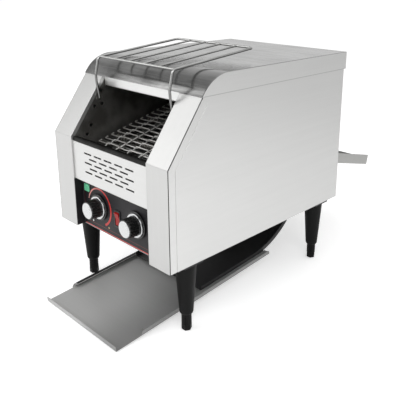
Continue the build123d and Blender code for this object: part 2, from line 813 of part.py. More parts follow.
# Belt rails: two flat bars that carry the upper run.
with BuildPart() as belt_rails:
    rail_top = belt_inner - rail_gap
    for side in (-1, 1):
        with BuildSketch(side_plane(side * rail_x)):
            with BuildLine():
                Polyline(
                    conveyor_point(rail_margin, rail_top),
                    conveyor_point(run_length - rail_margin, rail_top),
                    conveyor_point(run_length - rail_margin, rail_top - rail_depth),
                    conveyor_point(rail_margin, rail_top - rail_depth),
                    close=True,
                )
            make_face()
        extrude(amount=rail_width / 2, both=True)
belt_rails.part.label = "belt_rails"
export_step(belt_rails.part, "parts/belt_rails.step")

# Crossbars: round bars between the chamber plates, under the rails.
with BuildPart() as rail_crossbars:
    with BuildSketch(side_plane(0)):
        with Locations(*crossbar_places):
            Circle(crossbar_diameter / 2)
    extrude(amount=chamber_outer_x + sheet, both=True)
rail_crossbars.part.label = "rail_crossbars"
export_step(rail_crossbars.part, "parts/rail_crossbars.step")

# Shafts and sprocket wheels, in flanged bushes in the chamber plates.
bush_end = chamber_outer_x + bush_reach
coupling_start = bush_end + coupling_gap
shaft_left_ends = (coupling_start + coupling_length, bush_end + coupling_gap)
for name, place, left_end in (
    ("drive", rear_shaft, shaft_left_ends[0]),
    ("idler", front_shaft, shaft_left_ends[1]),
):
    with BuildPart() as shaft:
        with BuildSketch(side_plane(-left_end)):
            with Locations((place.Y, place.Z)):
                Circle(shaft_diameter / 2)
        extrude(amount=left_end + bush_end + coupling_gap)
    shaft.part.label = f"{name}_shaft"
    export_step(shaft.part, f"parts/{name}_shaft.step")

    with BuildPart() as sprockets:
        tip_radius = belt_inner - sprocket_clearance
        for x in (-sprocket_step, 0.0, sprocket_step):
            with BuildSketch(side_plane(x)):
                with Locations((place.Y, place.Z)):
                    Circle(tip_radius)
                    Circle(shaft_diameter / 2, mode=Mode.SUBTRACT)
                    with PolarLocations(tip_radius, sprocket_teeth, start_angle=notch_angle):
                        Circle(belt_wire, mode=Mode.SUBTRACT)
            extrude(amount=sprocket_width / 2, both=True)
    sprockets.part.label = f"{name}_sprockets"
    export_step(sprockets.part, f"parts/{name}_sprockets.step")

with BuildPart() as shaft_bushes:
    for side in (-1, 1):
        for radius, start, end in (
            (bush_flange_diameter / 2, chamber_x - bush_flange, chamber_x),
            (bush_diameter / 2, chamber_x, bush_end),
        ):
            with BuildSketch(side_plane(side * start)):
                with Locations(*shaft_places):
                    Circle(radius)
                    Circle(shaft_diameter / 2 + bush_clearance, mode=Mode.SUBTRACT)
            extrude(amount=side * (end - start))
shaft_bushes.part.label = "shaft_bushes"
export_step(shaft_bushes.part, "parts/shaft_bushes.step")

# Gear motor on three pillars on the left chamber plate, and its coupling.
motor_face = chamber_outer_x + motor_standoff
with BuildPart() as gear_motor:
    motor_spot = (rear_shaft.Y, rear_shaft.Z)
    with BuildSketch(side_plane(-motor_face)):
        with Locations(motor_spot):
            Circle(motor_diameter / 2)
    extrude(amount=-motor_gearbox_length)
    with BuildSketch(side_plane(-motor_face - motor_gearbox_length)):
        with Locations(motor_spot):
            Circle(motor_can_diameter / 2)
    extrude(amount=-motor_can_length)
    with BuildSketch(side_plane(-motor_face)):
        with Locations(motor_spot):
            with PolarLocations(motor_pillar_radius, 3):
                Circle(motor_pillar_diameter / 2)
    extrude(amount=motor_standoff)
gear_motor.part.label = "gear_motor"
export_step(gear_motor.part, "parts/gear_motor.step")

with BuildPart() as motor_coupling:
    with BuildSketch(side_plane(-coupling_start)):
        with Locations(motor_spot):
            Circle(coupling_diameter / 2)
            Circle(shaft_diameter / 2, mode=Mode.SUBTRACT)
    extrude(amount=-coupling_length)
motor_coupling.part.label = "motor_coupling"
export_step(motor_coupling.part, "parts/motor_coupling.step")

# ---------------------------------------------------------------- control box
# Speed controller: a finned block on the floor of the control box.
with BuildPart() as speed_controller:
    with Locations((controller_x, front + box_parts_setback, underside_z + sheet)):
        Box(controller_width, controller_depth, controller_height, align=standing)
        with GridLocations(fin_pitch, 0, fin_grooves, 1):
            with Locations((0, 0, controller_height)):
                fin_groove = (fin_pitch / 2, controller_depth, fin_depth)
                Box(*fin_groove, align=(Align.CENTER, Align.CENTER, Align.MAX), mode=Mode.SUBTRACT)
speed_controller.part.label = "speed_controller"
export_step(speed_controller.part, "parts/speed_controller.step")

# Terminal block: a moulded strip with a screw well for each terminal.
with BuildPart() as terminal_block:
    with Locations((terminal_x, front + box_parts_setback, underside_z + sheet)):
        Box(terminal_width, terminal_depth, terminal_height, align=standing)
        with GridLocations(terminal_pitch, terminal_depth / 2, terminals, 2):
            with Locations((0, 0, terminal_height)):
                Cylinder(
                    terminal_well / 2,
                    terminal_height / 2,
                    align=(Align.CENTER, Align.CENTER, Align.MAX),
                    mode=Mode.SUBTRACT,
                )
terminal_block.part.label = "terminal_block"
export_step(terminal_block.part, "parts/terminal_block.step")

# Rotary controls: speed potentiometer on the left and mode switch on the right. The knob, its
# ring and its cap turn on the spindle; the body, its threaded neck and its nut stand still.
panel_back = panel_face + panel_sheet
knob_back = panel_face - knob_gap
knob_front = knob_back - knob_length + knob_cap_thickness
ring_back = knob_back - knob_skirt_height
grip_back = ring_back - knob_ring_height
for name, body_name, side in (("speed", "speed_potentiometer", -1), ("mode", "mode_switch", 1)):
    axis_x = side * knob_spacing / 2
    with BuildPart() as control_body:
        with BuildSketch(Plane.XZ.offset(-panel_back)):
            with Locations((axis_x, knob_z)):
                if name == "speed":
                    Circle(potentiometer_diameter / 2)
                else:
                    Rectangle(mode_switch_size, mode_switch_size)
        extrude(amount=-(potentiometer_depth if name == "speed" else mode_switch_depth))
        with BuildSketch(Plane.XZ.offset(-panel_back)):
            with Locations((axis_x, knob_z)):
                Circle(neck_diameter / 2)
        extrude(amount=panel_sheet + neck_reach)
        with BuildSketch(Plane.XZ.offset(-panel_face)):
            with Locations((axis_x, knob_z)):
                RegularPolygon(nut_across / 2, 6, major_radius=False)
        extrude(amount=nut_height)
        with BuildSketch(Plane.XZ.offset(-panel_back - spindle_depth)):
            with Locations((axis_x, knob_z)):
                Circle(spindle_diameter / 2 + spindle_clearance)
        extrude(amount=spindle_depth + panel_sheet + neck_reach, mode=Mode.SUBTRACT)
    control_body.part.label = body_name
    export_step(control_body.part, f"parts/{body_name}.step")

    with BuildPart() as spindle:
        with BuildSketch(Plane.XZ.offset(-panel_back - spindle_depth)):
            with Locations((axis_x, knob_z)):
                Circle(spindle_diameter / 2)
        extrude(amount=spindle_depth + panel_sheet + spindle_reach)
    spindle.part.label = f"{name}_spindle"
    export_step(spindle.part, f"parts/{name}_spindle.step")

    with BuildPart() as knob:
        with BuildSketch(Plane.XZ.offset(-knob_back)):
            with Locations((axis_x, knob_z)):
                Circle(knob_skirt_diameter / 2)
        extrude(amount=knob_skirt_height)
        with BuildSketch(Plane.XZ.offset(-knob_back)) as grip_outline:
            with Locations((axis_x, knob_z)):
                Circle(knob_diameter / 2)
        extrude(amount=knob_back - grip_back)
        with BuildSketch(Plane.XZ.offset(-grip_back)):
            with Locations((axis_x, knob_z)):
                Circle(knob_diameter / 2)
        with BuildSketch(Plane.XZ.offset(-knob_front)):
            with Locations((axis_x, knob_z)):
                Circle(knob_front_diameter / 2)
        loft()
        with BuildSketch(Plane.XZ.offset(-grip_back)):
            with Locations((axis_x, knob_z)):
                with PolarLocations(knob_diameter / 2 + flute_offset, knob_flutes):
                    Circle(flute_radius)
        extrude(amount=grip_back - knob_front, mode=Mode.SUBTRACT)
        with BuildSketch(Plane.XZ.offset(-knob_back)):
            with Locations((axis_x, knob_z)):
                Circle(nut_recess_diameter / 2)
        extrude(amount=nut_recess_depth, mode=Mode.SUBTRACT)
        with BuildSketch(Plane.XZ.offset(-panel_back)):
            with Locations((axis_x, knob_z)):
                Circle(spindle_diameter / 2)
        extrude(amount=panel_sheet + spindle_reach, mode=Mode.SUBTRACT)
    knob.part.label = f"{name}_knob"
    export_step(knob.part, f"parts/{name}_knob.step")

    with BuildPart() as knob_ring:
        with BuildSketch(Plane.XZ.offset(-ring_back)):
            with Locations((axis_x, knob_z)):
                Circle(knob_ring_diameter / 2)
                Circle(knob_diameter / 2, mode=Mode.SUBTRACT)
        extrude(amount=knob_ring_height)
        outer_edges = knob_ring.edges().filter_by(GeomType.CIRCLE).group_by(Axis.Y)[0]
        chamfer(outer_edges.sort_by(SortBy.LENGTH)[-1], knob_ring_height / 3)
    knob_ring.part.label = f"{name}_knob_ring"
    export_step(knob_ring.part, f"parts/{name}_knob_ring.step")

    with BuildPart() as knob_cap:
        with BuildSketch(Plane.XZ.offset(-knob_front)):
            with Locations((axis_x, knob_z)):
                Circle(knob_cap_diameter / 2)
        extrude(amount=knob_cap_thickness)
    knob_cap.part.label = f"{name}_knob_cap"
    export_step(knob_cap.part, f"parts/{name}_knob_cap.step")

# Rocker switch: the button rocks on pins in its housing, and stands at one end of its swing.
rocker_axis_y = panel_face + rocker_axis_depth
with BuildPart() as rocker_housing:
    with BuildSketch(Plane.XZ.offset(-panel_face)):
        with Locations((0, rocker_z)):
            RectangleRounded(rocker_frame_width, rocker_frame_height, rocker_frame_corner)
    extrude(amount=rocker_frame_rise)
    with BuildSketch(Plane.XZ.offset(-panel_face)):
        with Locations((0, rocker_z)):
            Rectangle(rocker_body_width, rocker_body_height)
    extrude(amount=-rocker_body_depth)
    with BuildSketch(Plane.XZ.offset(-panel_face + rocker_frame_rise)):
        with Locations((0, rocker_z)):
            Rectangle(
                rocker_width + 2 * rocker_clearance, rocker_height + 2 * rocker_clearance
            )
    extrude(amount=-rocker_cavity_depth - rocker_frame_rise, mode=Mode.SUBTRACT)
    with BuildSketch(side_plane(0)):
        with Locations((rocker_axis_y, rocker_z)):
            Circle(rocker_pin_diameter / 2 + rocker_pin_clearance)
    extrude(amount=rocker_pin_half_length, both=True, mode=Mode.SUBTRACT)
rocker_housing.part.label = "rocker_housing"
export_step(rocker_housing.part, "parts/rocker_housing.step")

half_height = rocker_height / 2
end_reach = (half_height**2 - rocker_shoulder**2) ** 0.5
button_plane = Plane(
    (0, rocker_axis_y, rocker_z),
    x_dir=(0, cos(rocker_tilt), sin(rocker_tilt)),
    z_dir=(1, 0, 0),
)
with BuildPart() as rocker_button:
    with BuildSketch(button_plane):
        with BuildLine():
            Polyline(
                (rocker_back, rocker_tail),
                (rocker_back, -rocker_tail),
                (rocker_shoulder, -end_reach),
            )
            RadiusArc((rocker_shoulder, -end_reach), (-rocker_shoulder, -end_reach), half_height)
            Polyline(
                (-rocker_shoulder, -end_reach),
                (-rocker_shoulder + rocker_dish, 0),
                (-rocker_shoulder, end_reach),
            )
            RadiusArc((-rocker_shoulder, end_reach), (rocker_shoulder, end_reach), half_height)
            Line((rocker_shoulder, end_reach), (rocker_back, rocker_tail))
        make_face()
    extrude(amount=rocker_width / 2, both=True)
    with BuildSketch(side_plane(0)):
        with Locations((rocker_axis_y, rocker_z)):
            Circle(rocker_pin_diameter / 2)
    extrude(amount=rocker_pin_half_length - rocker_pin_clearance, both=True)
rocker_button.part.label = "rocker_button"
export_step(rocker_button.part, "parts/rocker_button.step")

# Pilot lamp: the green lens in front of the panel and the lamp body behind it.
with BuildPart() as pilot_lens:
    with BuildSketch(Plane.XZ.offset(-panel_face)):
        with Locations((lamp_x, lamp_z)):
            RectangleRounded(lamp_width, lamp_height, lamp_corner)
    extrude(amount=lamp_rise)
    chamfer(pilot_lens.faces().sort_by(Axis.Y)[0].edges(), lamp_rise / 3)
pilot_lens.part.label = "pilot_lens"
export_step(pilot_lens.part, "parts/pilot_lens.step")

with BuildPart() as pilot_lamp:
    with BuildSketch(Plane.XZ.offset(-panel_face)):
        with Locations((lamp_x, lamp_z)):
            Rectangle(lamp_width - lamp_body_step, lamp_height - lamp_body_step)
    extrude(amount=-lamp_body_depth)
pilot_lamp.part.label = "pilot_lamp"
export_step(pilot_lamp.part, "parts/pilot_lamp.step")

# ---------------------------------------------------------------- wire rack
# Warming rack of welded wire. Its two arms hook into the chamber plates, and it swings
# forward about the hooks to stand as a loading ramp in front of the belt.
rack_rear_y = front + rack_front_setback + rack_length
rack_rear_z = rack_shoulder_z + rack_length * tan(rack_rise)
arm_places = [
    rack_pivot,
    (front + rack_bend_setback, rack_bend_z),
    (front + rack_knee_setback, rack_knee_z),
    (front + rack_front_setback, rack_shoulder_z),
    (rack_rear_y, rack_rear_z),
]
left_arm = [Vector(-rack_hook_x, *rack_pivot)]
left_arm += [Vector(-rack_half_width, y, z) for y, z in arm_places]
right_arm = [Vector(-point.X, point.Y, point.Z) for point in reversed(left_arm)]
loop_radii = [rack_hook_radius] + [rack_corner_radius] * (len(left_arm) - 2)
cross_y = front + rack_front_setback + rack_cross_wire
cross_z = rack_shoulder_z + rack_cross_wire * tan(rack_rise)
with BuildPart() as wire_rack:
    with BuildLine() as loop:
        FilletPolyline(*left_arm, *right_arm, radius=loop_radii + loop_radii[::-1])
    with BuildSketch(Plane(left_arm[0], z_dir=(1, 0, 0))):
        Circle(rack_wire / 2)
    sweep(path=loop.line)
    with BuildSketch(side_plane(0)):
        with Locations((cross_y, cross_z)):
            Circle(rack_wire / 2)
    extrude(amount=rack_half_width, both=True)
    for number in range(rack_inner_wires):
        wire_x = (number - (rack_inner_wires - 1) / 2) * rack_inner_pitch
        start = Vector(wire_x, cross_y, cross_z)
        end = Vector(wire_x, rack_rear_y, rack_rear_z)
        with BuildSketch(Plane(start, z_dir=end - start)):
            Circle(rack_inner_wire / 2)
        extrude(amount=(end - start).length)
wire_rack.part.label = "wire_rack"
export_step(wire_rack.part, "parts/wire_rack.step")

# ---------------------------------------------------------------- chute and trays
def tray_point(distance, rise):
    """Side-view place `distance` up the output tray and `rise` above its underside."""
    return (
        tray_front + distance * cos(tray_slope) - rise * sin(tray_slope),
        tray_clear_z + distance * sin(tray_slope) + rise * cos(tray_slope),
    )


def tray_strip(start, end, low, high, corner=0.0):
    """Side view of a strip along the output tray, with its upper corners rounded."""
    corners = [tray_point(end, low), tray_point(end, high)]
    corners += [tray_point(start, high), tray_point(start, low)]
    with BuildSketch(side_plane(0)) as strip:
        with BuildLine():
            if corner:
                FilletPolyline(*corners, radius=corner)
            else:
                Polyline(*corners)
            Line(corners[-1], corners[0])
        make_face()
    return strip.sketch


# Curved chute: catches the toast behind the belt and turns it forward, and its edges stand
# out as tongues for the output tray's rails.
chute_low = tray_sheet + rail_inner_height - slide_clearance - chute_sheet
chute_start = (front + chute_front_setback - tray_front) / cos(tray_slope)
chute_bend = (rear - chute_bend_ahead - tray_front) / cos(tray_slope)
bend_point = tray_point(chute_bend, chute_low)
outer_radius = chute_radius + chute_sheet
arc_middle = (
    bend_point[0] - outer_radius * sin(tray_slope),
    bend_point[1] + outer_radius * cos(tray_slope),
)
arc_end = asin((arc_middle[1] - chute_top_z) / outer_radius)
chute_arc = 90 - degrees(tray_slope + arc_end)


def chute_band(depth):
    """Side view of the chute's sheet, thickened inwards to `depth`."""
    with BuildSketch(side_plane(0)) as band:
        with BuildLine():
            Line(tray_point(chute_start, chute_low), bend_point)
            JernArc(bend_point, (cos(tray_slope), sin(tray_slope)), outer_radius, chute_arc)
            offset(amount=depth, side=Side.LEFT)
        make_face()
    return band.sketch


with BuildPart() as curved_chute:
    extrude(chute_band(chute_sheet), amount=chute_width / 2, both=True)
    for side in (-1, 1):
        rim = chute_band(chute_rim).moved(Location((side * chute_width / 2, 0, 0)))
        extrude(rim, amount=-side * chute_sheet)
    tongue = tray_strip(chute_start, chute_bend, chute_low, chute_low + chute_sheet)
    extrude(tongue, amount=tray_width / 2 - tray_sheet - tongue_clearance, both=True)
curved_chute.part.label = "curved_chute"
export_step(curved_chute.part, "parts/curved_chute.step")

# Chute brackets: sheet channels between the chute's rims and the chamber plates.
with BuildPart() as chute_brackets:
    for side in (-1, 1):
        for z in (bracket_low_z, bracket_high_z):
            back = arc_middle[0] + (outer_radius**2 - (arc_middle[1] - z) ** 2) ** 0.5
            inner, outer = side * chute_width / 2, side * chamber_x
            middle = (inner + outer) / 2
            with Locations((middle, back - bracket_depth / 2 - chute_sheet, z)):
                Box(abs(outer - inner), bracket_depth, bracket_height)
                with Locations((0, 0, -sheet)):
                    gap = abs(outer - inner) - 2 * sheet
                    Box(gap, bracket_depth, bracket_height, mode=Mode.SUBTRACT)
chute_brackets.part.label = "chute_brackets"
export_step(chute_brackets.part, "parts/chute_brackets.step")

# Output tray: hangs by its folded rails on the chute's tongues and pushes in under the casing.
rail_height = 2 * tray_sheet + rail_inner_height
with BuildPart() as output_tray:
    extrude(tray_strip(0, tray_length, 0, tray_sheet), amount=tray_width / 2, both=True)
    extrude(tray_strip(0, tray_sheet, 0, tray_lip), amount=tray_width / 2, both=True)
    for side in (-1, 1):
        edge = Location((side * tray_width / 2, 0, 0))
        wall = tray_strip(rail_start, tray_length, 0, rail_height, rail_inner_height)
        extrude(wall.moved(edge), amount=-side * tray_sheet)
        lip = tray_strip(
            rail_start + rail_inner_height,
            tray_length - rail_inner_height,
            rail_height - tray_sheet,
            rail_height,
        )
        extrude(lip.moved(edge), amount=-side * (tray_sheet + rail_lip_width))
output_tray.part.label = "output_tray"
export_step(output_tray.part, "parts/output_tray.step")

# Rear tray: slopes out through the outlet, with an ear on each side wall.
rear_tray_end = rear + rear_tray_reach
rear_tray_length = (rear_tray_reach + rear_tray_inside) / cos(rear_tray_slope)


def rear_tray_strip(start, end, high, x):
    """Side view at `x` of a strip along the rear tray, counted from its outer end."""
    with BuildSketch(side_plane(x)) as strip:
        with BuildLine():
            Polyline(
                *[
                    (
                        rear_tray_end
                        - distance * cos(rear_tray_slope)
                        + rise * sin(rear_tray_slope),
                        rear_tray_end_z
                        + distance * sin(rear_tray_slope)
                        + rise * cos(rear_tray_slope),
                    )
                    for distance, rise in ((start, 0), (end, 0), (end, high), (start, high))
                ],
                close=True,
            )
        make_face()
    return strip.sketch


with BuildPart() as rear_tray:
    floor_strip = rear_tray_strip(0, rear_tray_length, tray_sheet, 0)
    extrude(floor_strip, amount=rear_tray_width / 2, both=True)
    end_lip = rear_tray_strip(0, tray_sheet, rear_tray_lip, 0)
    extrude(end_lip, amount=rear_tray_width / 2, both=True)
    for side in (-1, 1):
        side_x = side * rear_tray_width / 2
        side_wall = rear_tray_strip(0, rear_tray_length, rear_tray_wall, side_x)
        extrude(side_wall, amount=-side * tray_sheet)
    with BuildSketch(Plane.XZ.offset(-rear - sheet)):
        with Locations(*ear_places):
            RectangleRounded(ear_width, ear_height, ear_corner)
            Circle(screw_hole / 2, mode=Mode.SUBTRACT)
    extrude(amount=-tray_sheet)
rear_tray.part.label = "rear_tray"
export_step(rear_tray.part, "parts/rear_tray.step")

# ---------------------------------------------------------------- legs and feet
leg_top_z = underside_z - leg_plate_thickness
leg_bottom_z = leg_shoulder_z - leg_collar
high_middle = (Align.CENTER, Align.CENTER, Align.MAX)

# Legs: tapered columns with a stepped lower end.
with BuildPart() as legs:
    with GridLocations(2 * leg_x, leg_spacing_y, 2, 2):
        with Locations((0, 0, leg_shoulder_z)):
            Cone(
                leg_shoulder_diameter / 2,
                leg_top_diameter / 2,
                leg_top_z - leg_shoulder_z,
                align=standing,
            )
        with Locations((0, 0, leg_bottom_z)):
            Cone(
                leg_shoulder_diameter / 2 - leg_collar / 2,
                leg_shoulder_diameter / 2,
                leg_collar,
                align=standing,
            )
            Cylinder(
                stud_diameter / 2, stud_reach + stud_spare, align=standing, mode=Mode.SUBTRACT
            )
        with Locations((0, 0, leg_top_z)):
            Cylinder(
                leg_bolt_diameter / 2,
                leg_bolt_reach + stud_spare,
                align=high_middle,
                mode=Mode.SUBTRACT,
            )
legs.part.label = "legs"
export_step(legs.part, "parts/legs.step")

# Leg plates: square steel pads between the legs and the casing's lower edge.
with BuildPart() as leg_plates:
    with GridLocations(2 * leg_x, leg_spacing_y, 2, 2):
        with Locations((0, 0, leg_top_z)):
            Box(leg_plate_size, leg_plate_size, leg_plate_thickness, align=standing)
            Cylinder(
                leg_bolt_hole / 2, leg_plate_thickness, align=standing, mode=Mode.SUBTRACT
            )
leg_plates.part.label = "leg_plates"
export_step(leg_plates.part, "parts/leg_plates.step")

# Leg bolts: hexagon screws from inside the casing down into the legs.
with BuildPart() as leg_bolts:
    with BuildSketch(Plane.XY.offset(underside_z + sheet)):
        with GridLocations(2 * leg_x, leg_spacing_y, 2, 2):
            RegularPolygon(leg_bolt_across / 2, 6, major_radius=False)
    extrude(amount=leg_bolt_head)
    with BuildSketch(Plane.XY.offset(leg_top_z - leg_bolt_reach)):
        with GridLocations(2 * leg_x, leg_spacing_y, 2, 2):
            Circle(leg_bolt_diameter / 2)
    extrude(amount=leg_bolt_reach + leg_plate_thickness + sheet)
leg_bolts.part.label = "leg_bolts"
export_step(leg_bolts.part, "parts/leg_bolts.step")

# Levelling feet: a hexagon end, a round body and a threaded stud in the leg.
for name, x, y in (
    ("front_left", -leg_x, -leg_y),
    ("front_right", leg_x, -leg_y),
    ("rear_left", -leg_x, leg_y),
    ("rear_right", leg_x, leg_y),
):
    with BuildPart() as foot:
        with BuildSketch():
            with Locations((x, y)):
                RegularPolygon(foot_hex / 2, 6, major_radius=False)
        extrude(amount=foot_hex_height)
        chamfer(foot.faces().sort_by(Axis.Z)[0].edges(), foot_pad_chamfer)
        with BuildSketch(Plane.XY.offset(foot_hex_height)):
            with Locations((x, y)):
                Circle(foot_diameter / 2)
        extrude(amount=leg_bottom_z - leg_foot_gap - foot_hex_height)
        with BuildSketch(Plane.XY.offset(leg_bottom_z - leg_foot_gap)):
            with Locations((x, y)):
                Circle(stud_diameter / 2 - thread_clearance)
        extrude(amount=leg_foot_gap + stud_reach)
    foot.part.label = f"foot_{name}"
    export_step(foot.part, f"parts/foot_{name}.step")

# ---------------------------------------------------------------- rear fittings
# Casing screws: round-headed screws of the back panel and of the rear tray's ears.
with BuildPart() as casing_screws:
    for head_y, places in ((rear + sheet, screw_places), (rear + 2 * sheet, ear_places)):
        with BuildSketch(Plane.XZ.offset(-head_y)):
            with Locations(*places):
                Circle(screw_head / 2)
        extrude(amount=-screw_head_height, taper=screw_head_taper)
        with BuildSketch(Plane.XZ.offset(-head_y)):
            with Locations(*places):
                Circle(screw_shank / 2)
        extrude(amount=screw_length)
casing_screws.part.label = "casing_screws"
export_step(casing_screws.part, "parts/casing_screws.step")

# Cable gland: hexagon body and domed cap outside the back panel, locknut inside.
with BuildPart() as cable_gland:
    gland_spot = (-gland_x, gland_z)
    with BuildSketch(Plane.XZ.offset(-rear - sheet)):
        with Locations(gland_spot):
            RegularPolygon(gland_across / 2, 6, major_radius=False)
    extrude(amount=-gland_hex)
    for y, diameter in (
        (rear + sheet + gland_hex, gland_dome_diameter),
        (rear + sheet + gland_hex + gland_dome, gland_mouth_diameter),
    ):
        with BuildSketch(Plane.XZ.offset(-y)):
            with Locations(gland_spot):
                Circle(diameter / 2)
    loft()
    with BuildSketch(Plane.XZ.offset(-rear)):
        with Locations(gland_spot):
            RegularPolygon(gland_across / 2, 6, major_radius=False)
    extrude(amount=gland_nut)
    with BuildSketch(Plane.XZ.offset(-rear + gland_nut)):
        with Locations(gland_spot):
            Circle(gland_thread_diameter / 2)
    extrude(amount=-gland_nut - sheet)
    with BuildSketch(Plane.XZ.offset(-rear + gland_nut)):
        with Locations(gland_spot):
            Circle(gland_bore / 2)
    extrude(amount=-gland_nut - sheet - gland_hex - gland_dome, mode=Mode.SUBTRACT)
cable_gland.part.label = "cable_gland"
export_step(cable_gland.part, "parts/cable_gland.step")
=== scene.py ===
# Conveyor toaster, dressed part by part in the order it is put together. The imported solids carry
# the motion; each section gives its parts their real surface, softened edges and fine detail.
import json
import math

import bmesh
import bpy
from mathutils import Matrix, Vector

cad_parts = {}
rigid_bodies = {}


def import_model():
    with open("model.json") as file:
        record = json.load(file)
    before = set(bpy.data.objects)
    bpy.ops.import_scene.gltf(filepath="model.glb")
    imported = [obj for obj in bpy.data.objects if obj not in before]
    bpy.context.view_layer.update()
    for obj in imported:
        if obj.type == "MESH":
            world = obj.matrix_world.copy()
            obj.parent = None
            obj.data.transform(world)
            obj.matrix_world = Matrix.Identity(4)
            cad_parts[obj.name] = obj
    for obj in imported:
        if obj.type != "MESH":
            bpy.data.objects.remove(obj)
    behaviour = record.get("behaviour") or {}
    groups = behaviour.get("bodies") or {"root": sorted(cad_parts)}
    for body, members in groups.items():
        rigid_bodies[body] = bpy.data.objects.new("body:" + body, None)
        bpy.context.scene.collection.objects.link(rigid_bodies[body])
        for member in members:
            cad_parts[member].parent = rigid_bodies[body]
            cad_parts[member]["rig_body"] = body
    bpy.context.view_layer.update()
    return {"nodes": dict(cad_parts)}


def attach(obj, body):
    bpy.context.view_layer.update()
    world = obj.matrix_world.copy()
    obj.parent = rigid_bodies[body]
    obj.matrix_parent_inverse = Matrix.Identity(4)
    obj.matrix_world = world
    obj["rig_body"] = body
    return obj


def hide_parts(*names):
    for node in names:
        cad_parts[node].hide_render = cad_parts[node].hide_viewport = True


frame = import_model()
mm = 0.001

# ---- Camera ----------------------------------------------
# A short portrait lens in front of the machine's right-hand corner, a little above its top, with
# a small downward shift that keeps the casing's upright edges nearly parallel.


def stood(name, data):
    """A new object, linked to the scene."""
    made = bpy.data.objects.new(name, data)
    bpy.context.scene.collection.objects.link(made)
    return made


camera = stood("camera", bpy.data.cameras.new("camera"))
bpy.context.scene.camera = camera
camera.data.sensor_width = 36.0
camera.data.lens = 48.882
camera.data.shift_x = -0.0543
camera.data.shift_y = -0.1635
camera_turn = math.radians(43.288)
camera_dip = math.radians(16.365)
camera_roll = math.radians(0.441)
camera.matrix_world = (
    Matrix.Translation((0.68093, -0.65760, 0.51789))
    @ Matrix.Rotation(camera_turn, 4, "Z")
    @ Matrix.Rotation(math.pi / 2 - camera_dip, 4, "X")
    @ Matrix.Rotation(camera_roll, 4, "Z")
)

# ---- Studio ----------------------------------------------
# A pale floor that runs out to a white surround, three large soft boxes in front, to the right and
# overhead, and a sweep that greys with height, which gives rolled steel its darker bands.


def linear(colour):
    """Linear light values of an sRGB hex colour."""
    parts = [int(colour[place : place + 2], 16) / 255 for place in (1, 3, 5)]
    parts = [part / 12.92 if part <= 0.04045 else ((part + 0.055) / 1.055) ** 2.4 for part in parts]
    return (*parts, 1.0)


def feed(tree, node, inputs):
    """Sets a node's inputs, each to a value, an output, or the first output in use of another node."""
    for socket, value in inputs.items():
        if isinstance(value, bpy.types.Node):
            value = next(output for output in value.outputs if output.enabled)
        if isinstance(value, bpy.types.NodeSocket):
            tree.links.new(value, node.inputs[socket])
        else:
            node.inputs[socket].default_value = value


def add(tree, kind, inputs=None, **settings):
    """Adds a node with its settings and inputs."""
    made = tree.nodes.new(kind)
    for setting, value in settings.items():
        setattr(made, setting, value)
    feed(tree, made, inputs or {})
    return made


def along_axis(tree, axis, kind="Object"):
    """One axis of an object's own place, or of another `kind` of texture coordinate."""
    place = add(tree, "ShaderNodeTexCoord").outputs[kind]
    return add(tree, "ShaderNodeSeparateXYZ", {0: place}).outputs[axis]


bpy.context.scene.view_settings.view_transform = "Standard"
surround = bpy.data.worlds.new("surround")
bpy.context.scene.world = surround
surround.use_nodes = True
sky = surround.node_tree
sky.nodes.clear()
rays = add(sky, "ShaderNodeLightPath").outputs
mirror_rays = add(
    sky, "ShaderNodeMath", {0: rays["Is Glossy Ray"], 1: rays["Is Transmission Ray"]}, use_clamp=True
)
height = along_axis(sky, "Z", "Generated")
sweep = add(sky, "ShaderNodeMapRange", {"Value": height, "From Max": 0.80, "To Min": 0.78, "To Max": 0.30})
ambient_level = 0.66
lit = add(sky, "ShaderNodeMix", {0: mirror_rays, 2: ambient_level, 3: sweep})
shown = add(sky, "ShaderNodeMix", {0: rays["Is Camera Ray"], 2: lit, 3: 1.0})
surround_light = add(sky, "ShaderNodeBackground", {"Color": linear("#FFFFFF"), "Strength": shown})
add(sky, "ShaderNodeOutputWorld", {"Surface": surround_light})

floor_half, floor_z = 30.0, -0.0002
floor_mesh = bpy.data.meshes.new("floor")
floor_mesh.from_pydata(
    [(x * floor_half, y * floor_half, floor_z) for x, y in ((-1, -1), (1, -1), (1, 1), (-1, 1))],
    [],
    [(0, 1, 2, 3)],
)
floor = stood("floor", floor_mesh)
floor_paper = bpy.data.materials.new("matt_white_paper")
floor_paper.use_nodes = True
paper = floor_paper.node_tree
paper.nodes.clear()
paper_place = add(paper, "ShaderNodeTexCoord").outputs["Object"]
paper_grain = add(paper, "ShaderNodeTexNoise", {"Vector": paper_place, "Scale": 900.0})
paper_bump = add(paper, "ShaderNodeBump", {"Strength": 0.05, "Distance": 0.2 * mm, "Height": paper_grain})
paper_sheet = add(paper, "ShaderNodeBsdfDiffuse", {"Color": linear("#F4F4F4"), "Normal": paper_bump})
paper_rays = add(paper, "ShaderNodeLightPath").outputs
# The paper shows white to the camera, and to polished metal too, but less so far behind the object.
paper_falloff = add(
    paper,
    "ShaderNodeMapRange",
    {"Value": along_axis(paper, "Y"), "From Max": 1.2, "To Min": 0.75, "To Max": 0.0},
)
mirrored = add(
    paper, "ShaderNodeMath", {0: paper_rays["Is Glossy Ray"], 1: paper_falloff}, operation="MULTIPLY"
)
paper_seen = add(paper, "ShaderNodeMath", {0: paper_rays["Is Camera Ray"], 1: mirrored})
paper_glow_level = 0.42
paper_lift = add(paper, "ShaderNodeMath", {0: paper_seen, 1: paper_glow_level}, operation="MULTIPLY")
paper_glow = add(paper, "ShaderNodeEmission", {"Strength": paper_lift})
paper_sum = add(paper, "ShaderNodeAddShader", {0: paper_sheet, 1: paper_glow})
add(paper, "ShaderNodeOutputMaterial", {"Surface": paper_sum})
floor_mesh.materials.append(floor_paper)

